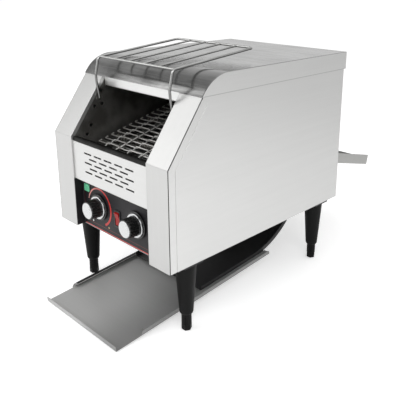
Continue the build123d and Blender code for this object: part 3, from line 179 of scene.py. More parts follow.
soft_boxes = (
    ("front_box", (-1.35, -1.9, 1.55), 2.4, 1.8, 19.0),
    ("right_box", (1.25, -0.80, 1.25), 1.0, 1.0, 8.5),
    ("top_box", (0.0, 0.4, 3.2), 3.4, 3.4, 14.0),
)
for name, place, width, depth, watts in soft_boxes:
    lamp = bpy.data.lights.new(name, "AREA")
    lamp.shape = "RECTANGLE"
    lamp.size, lamp.size_y, lamp.energy = width, depth, watts
    soft_box = stood(name, lamp)
    soft_box.visible_camera = False
    aim = (Vector((0.0, 0.0, 0.2)) - Vector(place)).to_track_quat("-Z", "Y")
    soft_box.matrix_world = Matrix.Translation(place) @ aim.to_matrix().to_4x4()

# ---- Side panels and base frame --------------------------
# Folded 1 mm stainless sheet with a brushed face, flanged inwards all round, with a folded strip
# down the front edge. They are screwed to the back panel and stand on the base frame.


def new_finish(name):
    """A material with one shader. Returns it, its tree and the piece's own place."""
    made = bpy.data.materials.new(name)
    made.use_nodes = True
    tree = made.node_tree
    tree.nodes.clear()
    shader = add(tree, "ShaderNodeBsdfPrincipled")
    add(tree, "ShaderNodeOutputMaterial", {"Surface": shader})
    return made, tree, add(tree, "ShaderNodeTexCoord").outputs["Object"]


def adjusted(finish, inputs):
    """The finish, with inputs of its shader set or linked."""
    feed(finish.node_tree, finish.node_tree.nodes["Principled BSDF"], inputs)
    return finish


def about(middle, swing):
    """What a map range gives out, `swing` either side of `middle`."""
    return {"To Min": middle - swing, "To Max": middle + swing}


def brushed_sheet(name, colour, grain, roughness, scratch=0.02, cloud=0.04, bare=0.85):
    """Abrasive-brushed sheet metal: hair lines along `grain`, and hand-wide clouds of polish.

    The hair lines of 0.1 mm grit are drawn 0.5 mm apart, because finer ones don't show. `bare` is
    the share that mirrors as metal; the rest scatters, as fine scratches and the haze of handling do.
    """
    made, tree, place = new_finish(name)
    line_step, band_step, line_run = 0.5 * mm, 6 * mm, 45 * mm
    fine = [1 / line_run if along else 1 / line_step for along in grain]
    wide = [1 / (6 * line_run) if along else 1 / band_step for along in grain]
    fine_place = add(tree, "ShaderNodeMapping", {"Vector": place, "Scale": fine})
    wide_place = add(tree, "ShaderNodeMapping", {"Vector": place, "Scale": wide})
    hair = add(tree, "ShaderNodeTexNoise", {"Vector": fine_place, "Scale": 1.0, "Detail": 3.0})
    band = add(tree, "ShaderNodeTexNoise", {"Vector": wide_place, "Scale": 1.0, "Detail": 2.0})
    polish = add(tree, "ShaderNodeTexNoise", {"Vector": place, "Scale": 14.0, "Detail": 2.0})
    tone = add(tree, "ShaderNodeMath", {0: hair, 1: band}, operation="ADD")
    tone = add(
        tree, "ShaderNodeMapRange", {"Value": tone, "From Min": 0.6, "From Max": 1.4, **about(1, scratch)}
    )
    shade = add(tree, "ShaderNodeVectorMath", {0: linear(colour)[:3], "Scale": tone}, operation="SCALE")
    gloss = add(tree, "ShaderNodeMath", {0: polish, 1: hair}, operation="ADD")
    gloss = add(
        tree,
        "ShaderNodeMapRange",
        {"Value": gloss, "From Min": 0.6, "From Max": 1.4, **about(roughness, cloud)},
    )
    relief = add(tree, "ShaderNodeBump", {"Strength": 0.05, "Distance": 0.02 * mm, "Height": hair})
    return adjusted(made, {"Base Color": shade, "Roughness": gloss, "Normal": relief, "Metallic": bare})


def baked(carrier):
    """Keeps what an object's modifiers make as a plain mesh of the same name."""
    depsgraph = bpy.context.evaluated_depsgraph_get()
    mesh = bpy.data.meshes.new_from_object(
        carrier.evaluated_get(depsgraph), preserve_all_data_layers=True, depsgraph=depsgraph
    )
    name = carrier.name
    bpy.data.objects.remove(carrier)
    mesh.name = name
    return mesh


def place_piece(name, mesh, finish, slot, body, *nodes):
    """Puts a finished mesh in the scene, on its body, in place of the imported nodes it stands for."""
    piece = stood(name, mesh)
    mesh.materials.clear()
    mesh.materials.append(finish)
    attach(piece, body)
    if nodes:
        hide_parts(*nodes)
    return piece


# Facets closer in angle than the first are one face; a turn sharper than the second is a corner.
flat_angle, corner_angle = math.radians(0.4), math.radians(28)
# A sheet's cut edge is narrower than 3 mm, and fills little of the square of its reach.
widest_edge, thin_share = 3 * mm, 0.1


def formed(node, finish, slot, bend=1.0, edge=0.18, stepped=False, punched=0.0):
    """The node's solid as formed sheet: bends rounded to `bend` mm, cut edges broken by `edge` mm.

    Hollow-cornered faces are divided into simple ones first: the sheet's narrow edges always, and
    with `stepped` the broad faces too. Edges under `punched` mm stay sharp, as a punch leaves slots.
    """
    source = frame["nodes"][node]
    form = bmesh.new()
    corners = [form.verts.new(spot.co) for spot in source.data.vertices]
    for face in source.data.polygons:
        form.faces.new([corners[number] for number in face.vertices])
    bmesh.ops.remove_doubles(form, verts=form.verts, dist=0.002 * mm)
    bmesh.ops.dissolve_limit(form, angle_limit=flat_angle, verts=form.verts, edges=form.edges)
    divided = []
    for face in form.faces:
        reaches = [max(axis) - min(axis) for axis in zip(*(corner.co for corner in face.verts))]
        if stepped or face.calc_area() < thin_share * sum(reach**2 for reach in reaches):
            divided.append(face)
    bmesh.ops.connect_verts_concave(form, faces=divided)
    weight = form.edges.layers.float.new("bevel_weight_edge")
    for line in form.edges:
        length = line.calc_length()
        if length > punched * mm and len(line.link_faces) == 2 and line.calc_face_angle() > corner_angle:
            narrow = min(face.calc_area() / length for face in line.link_faces)
            line[weight] = 1.0 if narrow > widest_edge else edge / bend
    mesh = bpy.data.meshes.new(node)
    form.to_mesh(mesh)
    form.free()
    mesh.shade_smooth()
    mesh.set_sharp_from_angle(angle=corner_angle)
    carrier = stood(node + "_formed", mesh)
    bevel = carrier.modifiers.new("broken_edges", "BEVEL")
    bevel.limit_method, bevel.offset_type = "WEIGHT", "OFFSET"
    bevel.width, bevel.segments = bend * mm, 3
    bevel.use_clamp_overlap = False
    bevel.miter_outer = "MITER_ARC"
    bevel.face_strength_mode = "FSTR_ALL"
    level = carrier.modifiers.new("flat_faces", "WEIGHTED_NORMAL")
    level.keep_sharp = True
    level.use_face_influence = True
    return place_piece(node + "_formed", baked(carrier), finish, slot, source["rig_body"], node)


def toned(finish, mask):
    """Multiplies a finish's colour by a mask made in its own tree."""
    tree = finish.node_tree
    shade = tree.nodes["Principled BSDF"].inputs["Base Color"].links[0].from_socket
    shade = add(tree, "ShaderNodeVectorMath", {0: shade, "Scale": mask}, operation="SCALE")
    adjusted(finish, {"Base Color": shade})


# 304 stainless with a number 4 brushed face: pale, softly glossy, grain along the panel.
brushed_side = brushed_sheet("brushed_stainless_side", "#D8D8D7", (0, 1, 0), 0.32)
# Painted shade draws the seam under the cover's flange as a grey line, about 1 mm wide.
side_tree, seam_z = brushed_side.node_tree, 358.2 * mm
above = add(side_tree, "ShaderNodeMath", {0: along_axis(side_tree, "Z"), 1: seam_z}, operation="SUBTRACT")
away = add(side_tree, "ShaderNodeMath", {0: above}, operation="ABSOLUTE")
flange_seam_shade = add(
    side_tree,
    "ShaderNodeMapRange",
    {"Value": away, "From Min": 0.3 * mm, "From Max": 0.9 * mm, "To Min": 0.66},
)
toned(brushed_side, flange_seam_shade)
for side in ("left", "right"):
    formed(f"side_panel_{side}", brushed_side, "brushed_stainless", bend=1.1, stepped=True)


def spangled_zinc(name, colour, roughness):
    """Hot-dip zinc: crystal leaves about 9 mm across, each a slightly different grey and gloss."""
    made, tree, place = new_finish(name)
    leaves = add(tree, "ShaderNodeTexVoronoi", {"Vector": place, "Scale": 1 / (9 * mm)})
    leaf = add(tree, "ShaderNodeSeparateColor", {0: leaves.outputs["Color"]})
    bright = [channel * 1.12 for channel in linear(colour)[:3]] + [1.0]
    dull = [channel * 0.80 for channel in linear(colour)[:3]] + [1.0]
    shade = add(tree, "ShaderNodeMix", {0: leaf, 6: dull, 7: bright}, data_type="RGBA")
    gloss = add(tree, "ShaderNodeMapRange", {"Value": leaf, **about(roughness, 0.08)})
    return adjusted(made, {"Base Color": shade, "Roughness": gloss, "Metallic": 1.0})


# Zinc-coated sheet: dull blue-grey, with the leafy spangle of the zinc bath.
zinc_sheet = spangled_zinc("galvanised_sheet", "#A9ACAD", 0.42)
formed("base_frame", zinc_sheet, "galvanised_steel", bend=0.8)

# ---- Front bezels ----------------------------------------
# Two folded stainless strips that frame the feed opening and the controls. Their faces are brushed
# lengthwise and stand a little proud of the side panels, with a shadow line between.
brushed_bezel = brushed_sheet("brushed_stainless_bezel", "#C8C8C7", (0, 0, 1), 0.32)
for side in ("left", "right"):
    formed(f"front_bezel_{side}", brushed_bezel, "brushed_stainless", bend=1.1)


def speckled_coat(name, colour, fleck, roughness, grain, bite):
    """Coat or moulded skin with a fine texture: `grain` mm between its bumps, `bite` mm deep."""
    made, tree, place = new_finish(name)
    bump = add(tree, "ShaderNodeTexNoise", {"Vector": place, "Scale": 1 / (grain * mm), "Detail": 2.0})
    wear = add(tree, "ShaderNodeTexNoise", {"Vector": place, "Scale": 22.0, "Detail": 4.0})
    amount = add(tree, "ShaderNodeMapRange", {"Value": bump, "From Min": 0.35, "From Max": 0.72})
    shade = add(tree, "ShaderNodeMix", {0: amount, 6: linear(colour), 7: linear(fleck)}, data_type="RGBA")
    gloss = add(
        tree,
        "ShaderNodeMapRange",
        {"Value": wear, "From Min": 0.3, "From Max": 0.7, **about(roughness, 0.07)},
    )
    relief = add(tree, "ShaderNodeBump", {"Strength": 0.3, "Distance": bite * mm, "Height": bump})
    return adjusted(made, {"Base Color": shade, "Roughness": gloss, "Normal": relief})


def skinned(name, rows, crease=30):
    """Closed skin over rows of points. Each row is a ring, and the end rings are capped."""
    form = bmesh.new()
    rings = [[form.verts.new(point) for point in row] for row in rows]
    for near, far in zip(rings, rings[1:]):
        for number in range(len(near)):
            following = (number + 1) % len(near)
            form.faces.new((near[number], near[following], far[following], far[number]))
    form.faces.new(rings[0][::-1])
    form.faces.new(rings[-1])
    bmesh.ops.recalc_face_normals(form, faces=form.faces)
    mesh = bpy.data.meshes.new(name)
    form.to_mesh(mesh)
    form.free()
    mesh.shade_smooth()
    mesh.set_sharp_from_angle(angle=math.radians(crease))
    return mesh


# A black bead, 0.7 mm wide, in the gap between each bezel and its side panel: painted shadow of the gap.
gap_shade_coat = speckled_coat("black_painted_gap_shade", "#0C0C0C", "#161616", 0.6, 1.5, 0.05)
casing_front = -205.0
bead_corners = ((140.75, 0.15), (141.45, 0.15), (141.45, 0.95), (140.75, 0.95))
bead_lean = math.radians(36.0)
# Height, way back from the casing's front and lean of the bead at its ends and at the bend.
bead_line = ((115.6, 0.0, 0.0), (269.0, 0.0, bead_lean / 2), (357.6, 64.6, bead_lean))
for side_name, side in (("left", -1), ("right", 1)):
    rows = []
    for z, back, lean in bead_line:
        stretch = 1 / math.cos(bead_lean / 2) if 0 < lean < bead_lean else 1.0
        ring = []
        for x, depth in bead_corners:
            inward = depth * stretch
            y = casing_front + back + inward * math.cos(lean)
            ring.append(Vector((side * x, y, z - inward * math.sin(lean))) * mm)
        rows.append(ring)
    name = f"gap_shadow_bead_{side_name}"
    place_piece(name, skinned(name, rows), gap_shade_coat, "black_plastic", "casing")

# ---- Cover -----------------------------------------------
# One stainless sheet rolled over the front curve, with a brushed flange down each side. The skin is
# polished after rolling, with streaks across the front curve; that curve is painted darker, as shade.


def roll_shaded_skin(name, colour, roughness):
    """Polished sheet with streaks along the roll, 5 mm apart and a hand long, with painted shade at the
    front.
    """
    made, tree, place = new_finish(name)
    streak_place = add(
        tree, "ShaderNodeMapping", {"Vector": place, "Scale": (1 / (90 * mm), 1 / (7 * mm), 1 / (5 * mm))}
    )
    streak = add(tree, "ShaderNodeTexNoise", {"Vector": streak_place, "Scale": 1.0, "Detail": 5.0})
    smear = add(tree, "ShaderNodeTexNoise", {"Vector": place, "Scale": 16.0, "Detail": 3.0})
    # Painted shade darkens the roll from its crown, at y = -95 mm, to the front lip, at y = -150 mm.
    forward = add(
        tree,
        "ShaderNodeMapRange",
        {"Value": along_axis(tree, "Y"), "From Min": -92 * mm, "From Max": -140 * mm},
        interpolation_type="SMOOTHSTEP",
    )
    mark = add(tree, "ShaderNodeMath", {0: streak, 1: smear}, operation="ADD")
    mark = add(tree, "ShaderNodeMapRange", {"Value": mark, "From Min": 0.75, "From Max": 1.25})
    # Painted shade: the front curve's tone falls to between 0.22 and 0.62 of the colour, streaked.
    roll_painted_shade = add(tree, "ShaderNodeMix", {0: mark, 2: 0.22, 3: 0.62})
    plain = add(tree, "ShaderNodeMix", {0: mark, 2: 0.90, 3: 1.0})
    tone = add(tree, "ShaderNodeMix", {0: forward, 2: plain, 3: roll_painted_shade})
    shade = add(tree, "ShaderNodeVectorMath", {0: linear(colour)[:3], "Scale": tone}, operation="SCALE")
    gloss = add(
        tree, "ShaderNodeMapRange", {"Value": mark, "To Min": roughness + 0.05, "To Max": roughness - 0.04}
    )
    relief = add(tree, "ShaderNodeBump", {"Strength": 0.08, "Distance": 0.05 * mm, "Height": streak})
    return adjusted(made, {"Base Color": shade, "Roughness": gloss, "Normal": relief, "Metallic": 1.0})


polished_cover = roll_shaded_skin("polished_stainless_cover", "#CDCDCC", 0.19)
cover = formed("top_cover", polished_cover, "polished_stainless", bend=1.2)
cover.data.materials.append(brushed_side)
for face in cover.data.polygons:
    if abs(face.normal.x) > 0.9:
        face.material_index = 1

# ---- Back panel ------------------------------------------
# Brushed stainless back with seven rows of cooling louvres, the rear outlet and the gland's hole.
brushed_back = brushed_sheet("brushed_stainless_back", "#D2D2D1", (1, 0, 0), 0.34)
formed("back_panel", brushed_back, "brushed_stainless", bend=1.0, edge=0.15, punched=18.0)

# ---- Slotted front panel ---------------------------------
# Punched ventilation panel over the controls, brushed across, folded back at top and bottom.
brushed_slots = brushed_sheet("brushed_stainless_slots", "#D6D6D5", (1, 0, 0), 0.34)
formed("slotted_front_panel", brushed_slots, "brushed_stainless", bend=0.9, edge=0.15, punched=18.0)

# ---- Feed lip and deflector ------------------------------
# A dark, heat-stained lip over the front shaft keeps bread off the sprockets, and a bright plate
# under the cover's roll throws the upper tubes' heat down and back.


def heat_stained(name, colour, stain, roughness):
    """Steel coloured by heat: a dark oxide that comes and goes in patches a few centimetres wide."""
    made, tree, place = new_finish(name)
    patch = add(tree, "ShaderNodeTexNoise", {"Vector": place, "Scale": 30.0, "Detail": 5.0})
    speck = add(tree, "ShaderNodeTexNoise", {"Vector": place, "Scale": 700.0, "Detail": 2.0})
    amount = add(tree, "ShaderNodeMapRange", {"Value": patch, "From Min": 0.38, "From Max": 0.64})
    shade = add(tree, "ShaderNodeMix", {0: amount, 6: linear(colour), 7: linear(stain)}, data_type="RGBA")
    gloss = add(
        tree, "ShaderNodeMapRange", {"Value": speck, "To Min": roughness - 0.1, "To Max": roughness + 0.12}
    )
    relief = add(tree, "ShaderNodeBump", {"Strength": 0.15, "Distance": 0.03 * mm, "Height": speck})
    return adjusted(made, {"Base Color": shade, "Roughness": gloss, "Normal": relief, "Metallic": 1.0})


stained_lip = heat_stained("heat_darkened_lip", "#2E2E2D", "#1E1D1C", 0.42)
formed("feed_lip", stained_lip, "chamber_steel", bend=0.6, edge=0.15)
bright_plate = brushed_sheet("bright_rolled_plate", "#E4E4E3", (1, 0, 0), 0.34)
formed("deflector_plate", bright_plate, "bright_reflector", bend=0.6, edge=0.15)

# ---- Chamber ---------------------------------------------
# Side plates, rear wall and reflector of the toasting chamber. The plates are browned by use; the
# reflector over the upper tubes stays brighter.
chamber_steel = heat_stained("heat_darkened_chamber", "#8A8986", "#666461", 0.48)
for node in ("chamber_side_left", "chamber_side_right", "chamber_rear_wall"):
    formed(node, chamber_steel, "chamber_steel", bend=0.6, edge=0.15)
used_reflector = heat_stained("used_reflector", "#8B8A86", "#6E6B66", 0.32)
formed("upper_reflector", used_reflector, "bright_reflector", bend=0.6, edge=0.15)

# ---- Control box -----------------------------------------
# Zinc-coated sheets that close the box of the controls against the chamber's heat.
for node in ("control_box_wall", "heat_shield"):
    formed(node, zinc_sheet, "galvanised_steel", bend=0.6, edge=0.15)

# ---- Control panel ---------------------------------------
# Steel plate with a fine charcoal coating, set back between the bezels, screen-printed with a
# sweeping red scale round the left knob, two red lines and two dots.
charcoal_coat = speckled_coat("charcoal_powder_coat", "#131114", "#1F1D21", 0.5, 0.7, 0.04)
adjusted(charcoal_coat, {"Specular IOR Level": 0.35})
formed("control_panel", charcoal_coat, "charcoal_panel", bend=0.8, edge=0.15, stepped=True)

panel_face_y, ink_root, ink_film = -189.0, 0.02, 0.08


def printed(name, outline_rows, finish):
    """Ink on the panel: rows of two places (x, z) across the print, followed along its length."""
    rows = []
    for (x1, z1), (x2, z2) in outline_rows:
        ring = [(x1, ink_root, z1), (x2, ink_root, z2), (x2, -ink_film, z2), (x1, -ink_film, z1)]
        rows.append([Vector((x, panel_face_y + y, z)) * mm for x, y, z in ring])
    return place_piece(name, skinned(name, rows), finish, "red_plastic", "casing")


def ink(name, pale, full, start, end):
    """Screen-print ink, which thins out from full colour at x = `end` mm to pale at x = `start`."""
    made, tree, place = new_finish(name)
    thin = add(
        tree,
        "ShaderNodeMapRange",
        {"Value": along_axis(tree, "X"), "From Min": start * mm, "From Max": end * mm},
    )
    mesh_mark = add(tree, "ShaderNodeTexNoise", {"Vector": place, "Scale": 1800.0})
    shade = add(tree, "ShaderNodeMix", {0: thin, 6: linear(pale), 7: linear(full)}, data_type="RGBA")
    gloss = add(tree, "ShaderNodeMapRange", {"Value": mesh_mark, "To Min": 0.35, "To Max": 0.5})
    return adjusted(made, {"Base Color": shade, "Roughness": gloss})


arc_ink = ink("red_scale_ink", "#E9A7A0", "#C9302B", -79.0, -38.0)
line_ink = ink("red_line_ink", "#D8524E", "#D8524E", -90.0, 90.0)
dark_ink = ink("dark_red_ink", "#5A1719", "#5A1719", -90.0, 90.0)
pale_ink = ink("white_ink", "#E8E8E6", "#E8E8E6", -90.0, 90.0)
buff_ink = ink("buff_ink", "#B79B6C", "#B79B6C", -90.0, 90.0)

knob_x, knob_z = 48.5, 157.0
scale_radius, scale_start, scale_end = 30.5, 166.0, -64.0
scale_steps = 96
scale_rows = []
for step in range(scale_steps + 1):
    share = step / scale_steps
    angle = math.radians(scale_start + (scale_end - scale_start) * share)
    half = 1.0 + 0.9 * share
    radii = (scale_radius - half, scale_radius + half)
    scale_rows.append(
        [(reach * math.cos(angle) - knob_x, reach * math.sin(angle) + knob_z) for reach in radii]
    )
printed("speed_scale_print", scale_rows, arc_ink)
printed("lower_line_print", [[(-93.6, 116.5), (-93.6, 117.9)], [(93.6, 116.5), (93.6, 117.9)]], line_ink)
printed("upper_line_print", [[(-93.6, 123.6), (-93.6, 124.5)], [(93.6, 123.6), (93.6, 124.5)]], dark_ink)
printed("edge_line_print", [[(-90.4, 125.2), (-89.6, 125.2)], [(-90.4, 196.0), (-89.6, 196.0)]], dark_ink)
dot_steps = 24
for name, dot_x, dot_z, dot_radius, finish in (
    ("low_speed_dot_print", -69.0, 127.4, 1.7, pale_ink),
    ("high_speed_dot_print", -25.4, 127.6, 1.7, buff_ink),
):
    rows = []
    for step in range(dot_steps + 1):
        angle = math.pi * step / dot_steps
        reach = max(math.sin(angle), 0.02) * dot_radius
        middle = dot_x - math.cos(angle) * dot_radius
        rows.append([(middle, dot_z - reach), (middle, dot_z + reach)])
    printed(name, rows, finish)

# ---- Heating tubes ---------------------------------------
# Six quartz tubes, three over the belt and three under its upper run, each with a coiled resistance
# wire inside and a white ceramic cap at both ends, outside the chamber plates.
frosted_quartz, quartz_tree, quartz_place = new_finish("frosted_quartz_tube")
quartz_mist = add(quartz_tree, "ShaderNodeTexNoise", {"Vector": quartz_place, "Scale": 160.0})
quartz_gloss = add(quartz_tree, "ShaderNodeMapRange", {"Value": quartz_mist, "To Min": 0.12, "To Max": 0.38})
adjusted(
    frosted_quartz,
    {"Roughness": quartz_gloss, "Base Color": linear("#C9C6BE"), "Transmission Weight": 0.85, "IOR": 1.46},
)
for node in ("upper_heating_tubes", "lower_heating_tubes"):
    formed(node, frosted_quartz, "quartz_glass", bend=0.5, edge=0.3)

# Drawn iron-chromium wire, greyed by its oxide: dull, faintly brown.
coil_wire = heat_stained("resistance_wire", "#7A7570", "#5C5550", 0.45)


def new_tree(name, source, sizes, result):
    """An empty Geometry Nodes tree and its inputs: a source, its sizes and the metal it is made of."""
    tree = bpy.data.node_groups.new(name, "GeometryNodeTree")
    tree.interface.new_socket(source, in_out="INPUT", socket_type="NodeSocketGeometry")
    for label, kind in (*sizes.items(), ("Metal", "Material")):
        tree.interface.new_socket(label, in_out="INPUT", socket_type=f"NodeSocket{kind}")
    tree.interface.new_socket(result, in_out="OUTPUT", socket_type="NodeSocketGeometry")
    return tree, add(tree, "NodeGroupInput").outputs


def close_tree(tree, shape, metal, smooth=True):
    """Ends a tree: its instances are made real, smoothed and given their metal."""
    shape = add(tree, "GeometryNodeRealizeInstances", {0: shape})
    if smooth:
        shape = add(tree, "GeometryNodeSetShadeSmooth", {0: shape})
    shape = add(tree, "GeometryNodeSetMaterial", {0: shape, "Material": metal})
    add(tree, "NodeGroupOutput", {0: shape})


coil_sizes = {"Length": "Float", "Coil radius": "Float", "Wire radius": "Float", "Turns": "Float"}
coil_tree, given = new_tree("heating_coil", "Places", coil_sizes, "Coils")
helix = add(
    coil_tree,
    "GeometryNodeCurveSpiral",
    {
        "Resolution": 12,
        "Rotations": given["Turns"],
        "Start Radius": given["Coil radius"],
        "End Radius": given["Coil radius"],
        "Height": given["Length"],
    },
)
wire_section = add(
    coil_tree,
    "GeometryNodeCurvePrimitiveCircle",
    {"Resolution": 5, "Radius": given["Wire radius"]},
    mode="RADIUS",
)
wound = add(
    coil_tree, "GeometryNodeCurveToMesh", {"Curve": helix, "Profile Curve": wire_section, "Fill Caps": True}
)
half_back = add(coil_tree, "ShaderNodeMath", {0: given["Length"], 1: -0.5}, operation="MULTIPLY")
to_middle = add(coil_tree, "ShaderNodeCombineXYZ", {"Z": half_back})
centred = add(coil_tree, "GeometryNodeTransform", {"Geometry": wound, "Translation": to_middle})
across = add(coil_tree, "GeometryNodeTransform", {"Geometry": centred, "Rotation": (0.0, math.pi / 2, 0.0)})
repeated = add(coil_tree, "GeometryNodeInstanceOnPoints", {"Points": given["Places"], "Instance": across})
close_tree(coil_tree, repeated, given["Metal"])


def run_tree(name, tree, source, sizes):
    """Runs a Geometry Nodes tree on a mesh or curve, with its inputs set, and bakes the result."""
    carrier = stood(name, source)
    build = carrier.modifiers.new("build", "NODES")
    build.node_group = tree
    for item in tree.interface.items_tree:
        if item.in_out == "INPUT" and item.name in sizes:
            build[item.identifier] = sizes[item.name]
    return baked(carrier)


def points_at(name, spots):
    """A mesh of loose points, for a tree to set its instances on."""
    mesh = bpy.data.meshes.new(name)
    mesh.from_pydata([spot * mm for spot in spots], [], [])
    return mesh


front_shaft = Vector((0.0, -167.0, 236.0))
slope = math.radians(14.5)
along = Vector((0.0, math.cos(slope), math.sin(slope)))
upward = Vector((0.0, -math.sin(slope), math.cos(slope)))


def conveyor_spot(distance, rise, x=0.0):
    """Place in mm, `distance` up the conveyor and `rise` square to it."""
    return front_shaft + along * distance + upward * rise + Vector((x, 0.0, 0.0))


upper_rise, lower_rise = 84.0, 0.0
tube_middles = [conveyor_spot(run, upper_rise) for run in (92.0, 142.0, 192.0)]
tube_middles += [conveyor_spot(run, lower_rise) for run in (55.0, 127.0, 199.0)]
coil_mesh = run_tree(
    "heating_coils",
    coil_tree,
    points_at("coil_places", tube_middles),
    {"Length": 188 * mm, "Coil radius": 2.9 * mm, "Wire radius": 0.4 * mm, "Turns": 58.0, "Metal": coil_wire},
)
place_piece("heating_coils", coil_mesh, coil_wire, "machined_steel", "casing")

glazed_ceramic = speckled_coat("steatite_ceramic", "#E9E6DC", "#DAD5C8", 0.5, 0.9, 0.03)
formed("ceramic_end_caps", glazed_ceramic, "white_ceramic", bend=0.6, edge=0.4)

# ---- Shafts, sprockets and drive -------------------------
# Turned steel shafts in bronze bushes, cut sprockets, and the gear motor with its coupling.


def turned_metal(name, colour, roughness, step=0.6):
    """Turned or ground metal: fine rings round its X axis, `step` mm apart."""
    made, tree, place = new_finish(name)
    rings_place = add(tree, "ShaderNodeMapping", {"Vector": place, "Scale": (1 / (step * mm), 4.0, 4.0)})
    ring = add(tree, "ShaderNodeTexNoise", {"Vector": rings_place, "Scale": 1.0, "Detail": 2.0})
    dark = [channel * 0.82 for channel in linear(colour)[:3]] + [1.0]
    shade = add(tree, "ShaderNodeMix", {0: ring, 6: dark, 7: linear(colour)}, data_type="RGBA")
    gloss = add(tree, "ShaderNodeMapRange", {"Value": ring, **about(roughness, 0.08)})
    relief = add(tree, "ShaderNodeBump", {"Strength": 0.1, "Distance": 0.02 * mm, "Height": ring})
    return adjusted(made, {"Base Color": shade, "Roughness": gloss, "Normal": relief, "Metallic": 1.0})


turned_steel = turned_metal("turned_steel", "#A9A9A7", 0.30)
bronze = turned_metal("sintered_bronze", "#9C7A45", 0.48)
zinc_plate = turned_metal("zinc_plated_steel", "#B9BAB6", 0.32)
motor_enamel = speckled_coat("grey_motor_enamel", "#4A4D50", "#565A5D", 0.38, 1.6, 0.05)
turned_nodes = ("drive_shaft", "idler_shaft", "motor_coupling", "drive_sprockets", "idler_sprockets")
for node in (*turned_nodes, "belt_rails", "rail_crossbars"):
    formed(node, turned_steel, "machined_steel", bend=0.5, edge=0.25)
formed("shaft_bushes", bronze, "sintered_bronze", bend=0.5, edge=0.25, stepped=True)
formed("gear_motor", motor_enamel, "motor_paint", bend=1.0, edge=0.4)

# ---- Wire belt -------------------------------------------
# Forty-eight strands of drawn stainless wire, each bent as a square wave and hooked into the next,
# all the way round the sprockets.
wire_sizes = {"Wire radius": "Float", "Sides": "Int", "Bend steps": "Int"}
wire_tree, given = new_tree("bent_wire", "Run", wire_sizes, "Wire")
bend_radius = add(wire_tree, "GeometryNodeInputRadius")
bent = add(
    wire_tree,
    "GeometryNodeFilletCurve",
    {"Curve": given["Run"], "Radius": bend_radius, "Count": given["Bend steps"], "Limit Radius": True},
    mode="POLY",
)
even = add(wire_tree, "GeometryNodeSetCurveRadius", {"Curve": bent, "Radius": 1.0})
section = add(
    wire_tree,
    "GeometryNodeCurvePrimitiveCircle",
    {"Resolution": given["Sides"], "Radius": given["Wire radius"]},
    mode="RADIUS",
)
drawn = add(
    wire_tree, "GeometryNodeCurveToMesh", {"Curve": even, "Profile Curve": section, "Fill Caps": True}
)
close_tree(wire_tree, drawn, given["Metal"])


def wire_runs(name, runs):
    """Straight runs between corners, in mm, as curves. Each run lists (corner, bend radius)."""
    curve = bpy.data.curves.new(name, "CURVE")
    curve.dimensions = "3D"
    for run in runs:
        spline = curve.splines.new("POLY")
        spline.points.add(len(run) - 1)
        for point, (corner, radius) in zip(spline.points, run):
            point.co = (*(corner * mm), 1.0)
            point.radius = radius * mm
    return curve


belt_pitch, belt_width, belt_wire, belt_spaces = 12.7, 172.0, 2.2, 6
links_per_run, sprocket_teeth = 20, 8
belt_radius = belt_pitch * sprocket_teeth / (2 * math.pi)
run_length = belt_pitch * links_per_run
wire_step, wire_bend = belt_wire + 0.5, 1.8
lines_per_turn = sprocket_teeth // 2
belt_lines = 2 * (links_per_run + lines_per_turn)
link_lap, edge_hook = 0.75 * belt_wire, 0.45


def belt_spot(line, outside, x):
    """Place on the belt at a line counted round it, `outside` mm off the belt's middle."""
    reach = belt_radius + outside
    line = line % belt_lines
    if line <= links_per_run:
        return conveyor_spot(line * belt_pitch, reach, x)
    if line <= links_per_run + lines_per_turn:
        turn = (line - links_per_run) * math.pi / lines_per_turn
        return conveyor_spot(run_length + reach * math.sin(turn), reach * math.cos(turn), x)
    if line <= belt_lines - lines_per_turn:
        back = line - links_per_run - lines_per_turn
        return conveyor_spot(run_length - back * belt_pitch, -reach, x)
    turn = (line - belt_lines + lines_per_turn) * math.pi / lines_per_turn
    return conveyor_spot(-reach * math.sin(turn), -reach * math.cos(turn), x)


def strand(line):
    """Corners of one strand: low on its own line, high on the next, hooked at both edges."""
    half, space = belt_width / 2, belt_width / belt_spaces
    places = [(-half, line + edge_hook, -wire_step / 2), (-half, line, -wire_step / 2)]
    for number in range(belt_spaces - 1):
        boundary = -half + (number + 1) * space
        own, following = line + number % 2, line + (number + 1) % 2
        high, low = (-1) ** (number + 1), (-1) ** number
        places.append((boundary + link_lap, own, high * wire_step / 2))
        places.append((boundary - link_lap, following, low * wire_step / 2))
    places.append((half, line + 1, wire_step / 2))
    places.append((half, line + 1 - edge_hook, wire_step / 2))
    return [(belt_spot(spot, outside, x), wire_bend) for x, spot, outside in places]


# Drawn 304 wire, dulled by heat and crumbs: grey with bright crowns where it rubs.
belt_steel = heat_stained("drawn_belt_wire", "#E6E5E2", "#C9C7C3", 0.34)
adjusted(belt_steel, {"Metallic": 0.7})
belt_mesh = run_tree(
    "wire_belt",
    wire_tree,
    wire_runs("belt_runs", [strand(line) for line in range(belt_lines)]),
    {"Wire radius": belt_wire / 2 * mm, "Sides": 8, "Bend steps": 3, "Metal": belt_steel},
)
place_piece("wire_belt", belt_mesh, belt_steel, "belt_wire", "casing", "conveyor_belt")

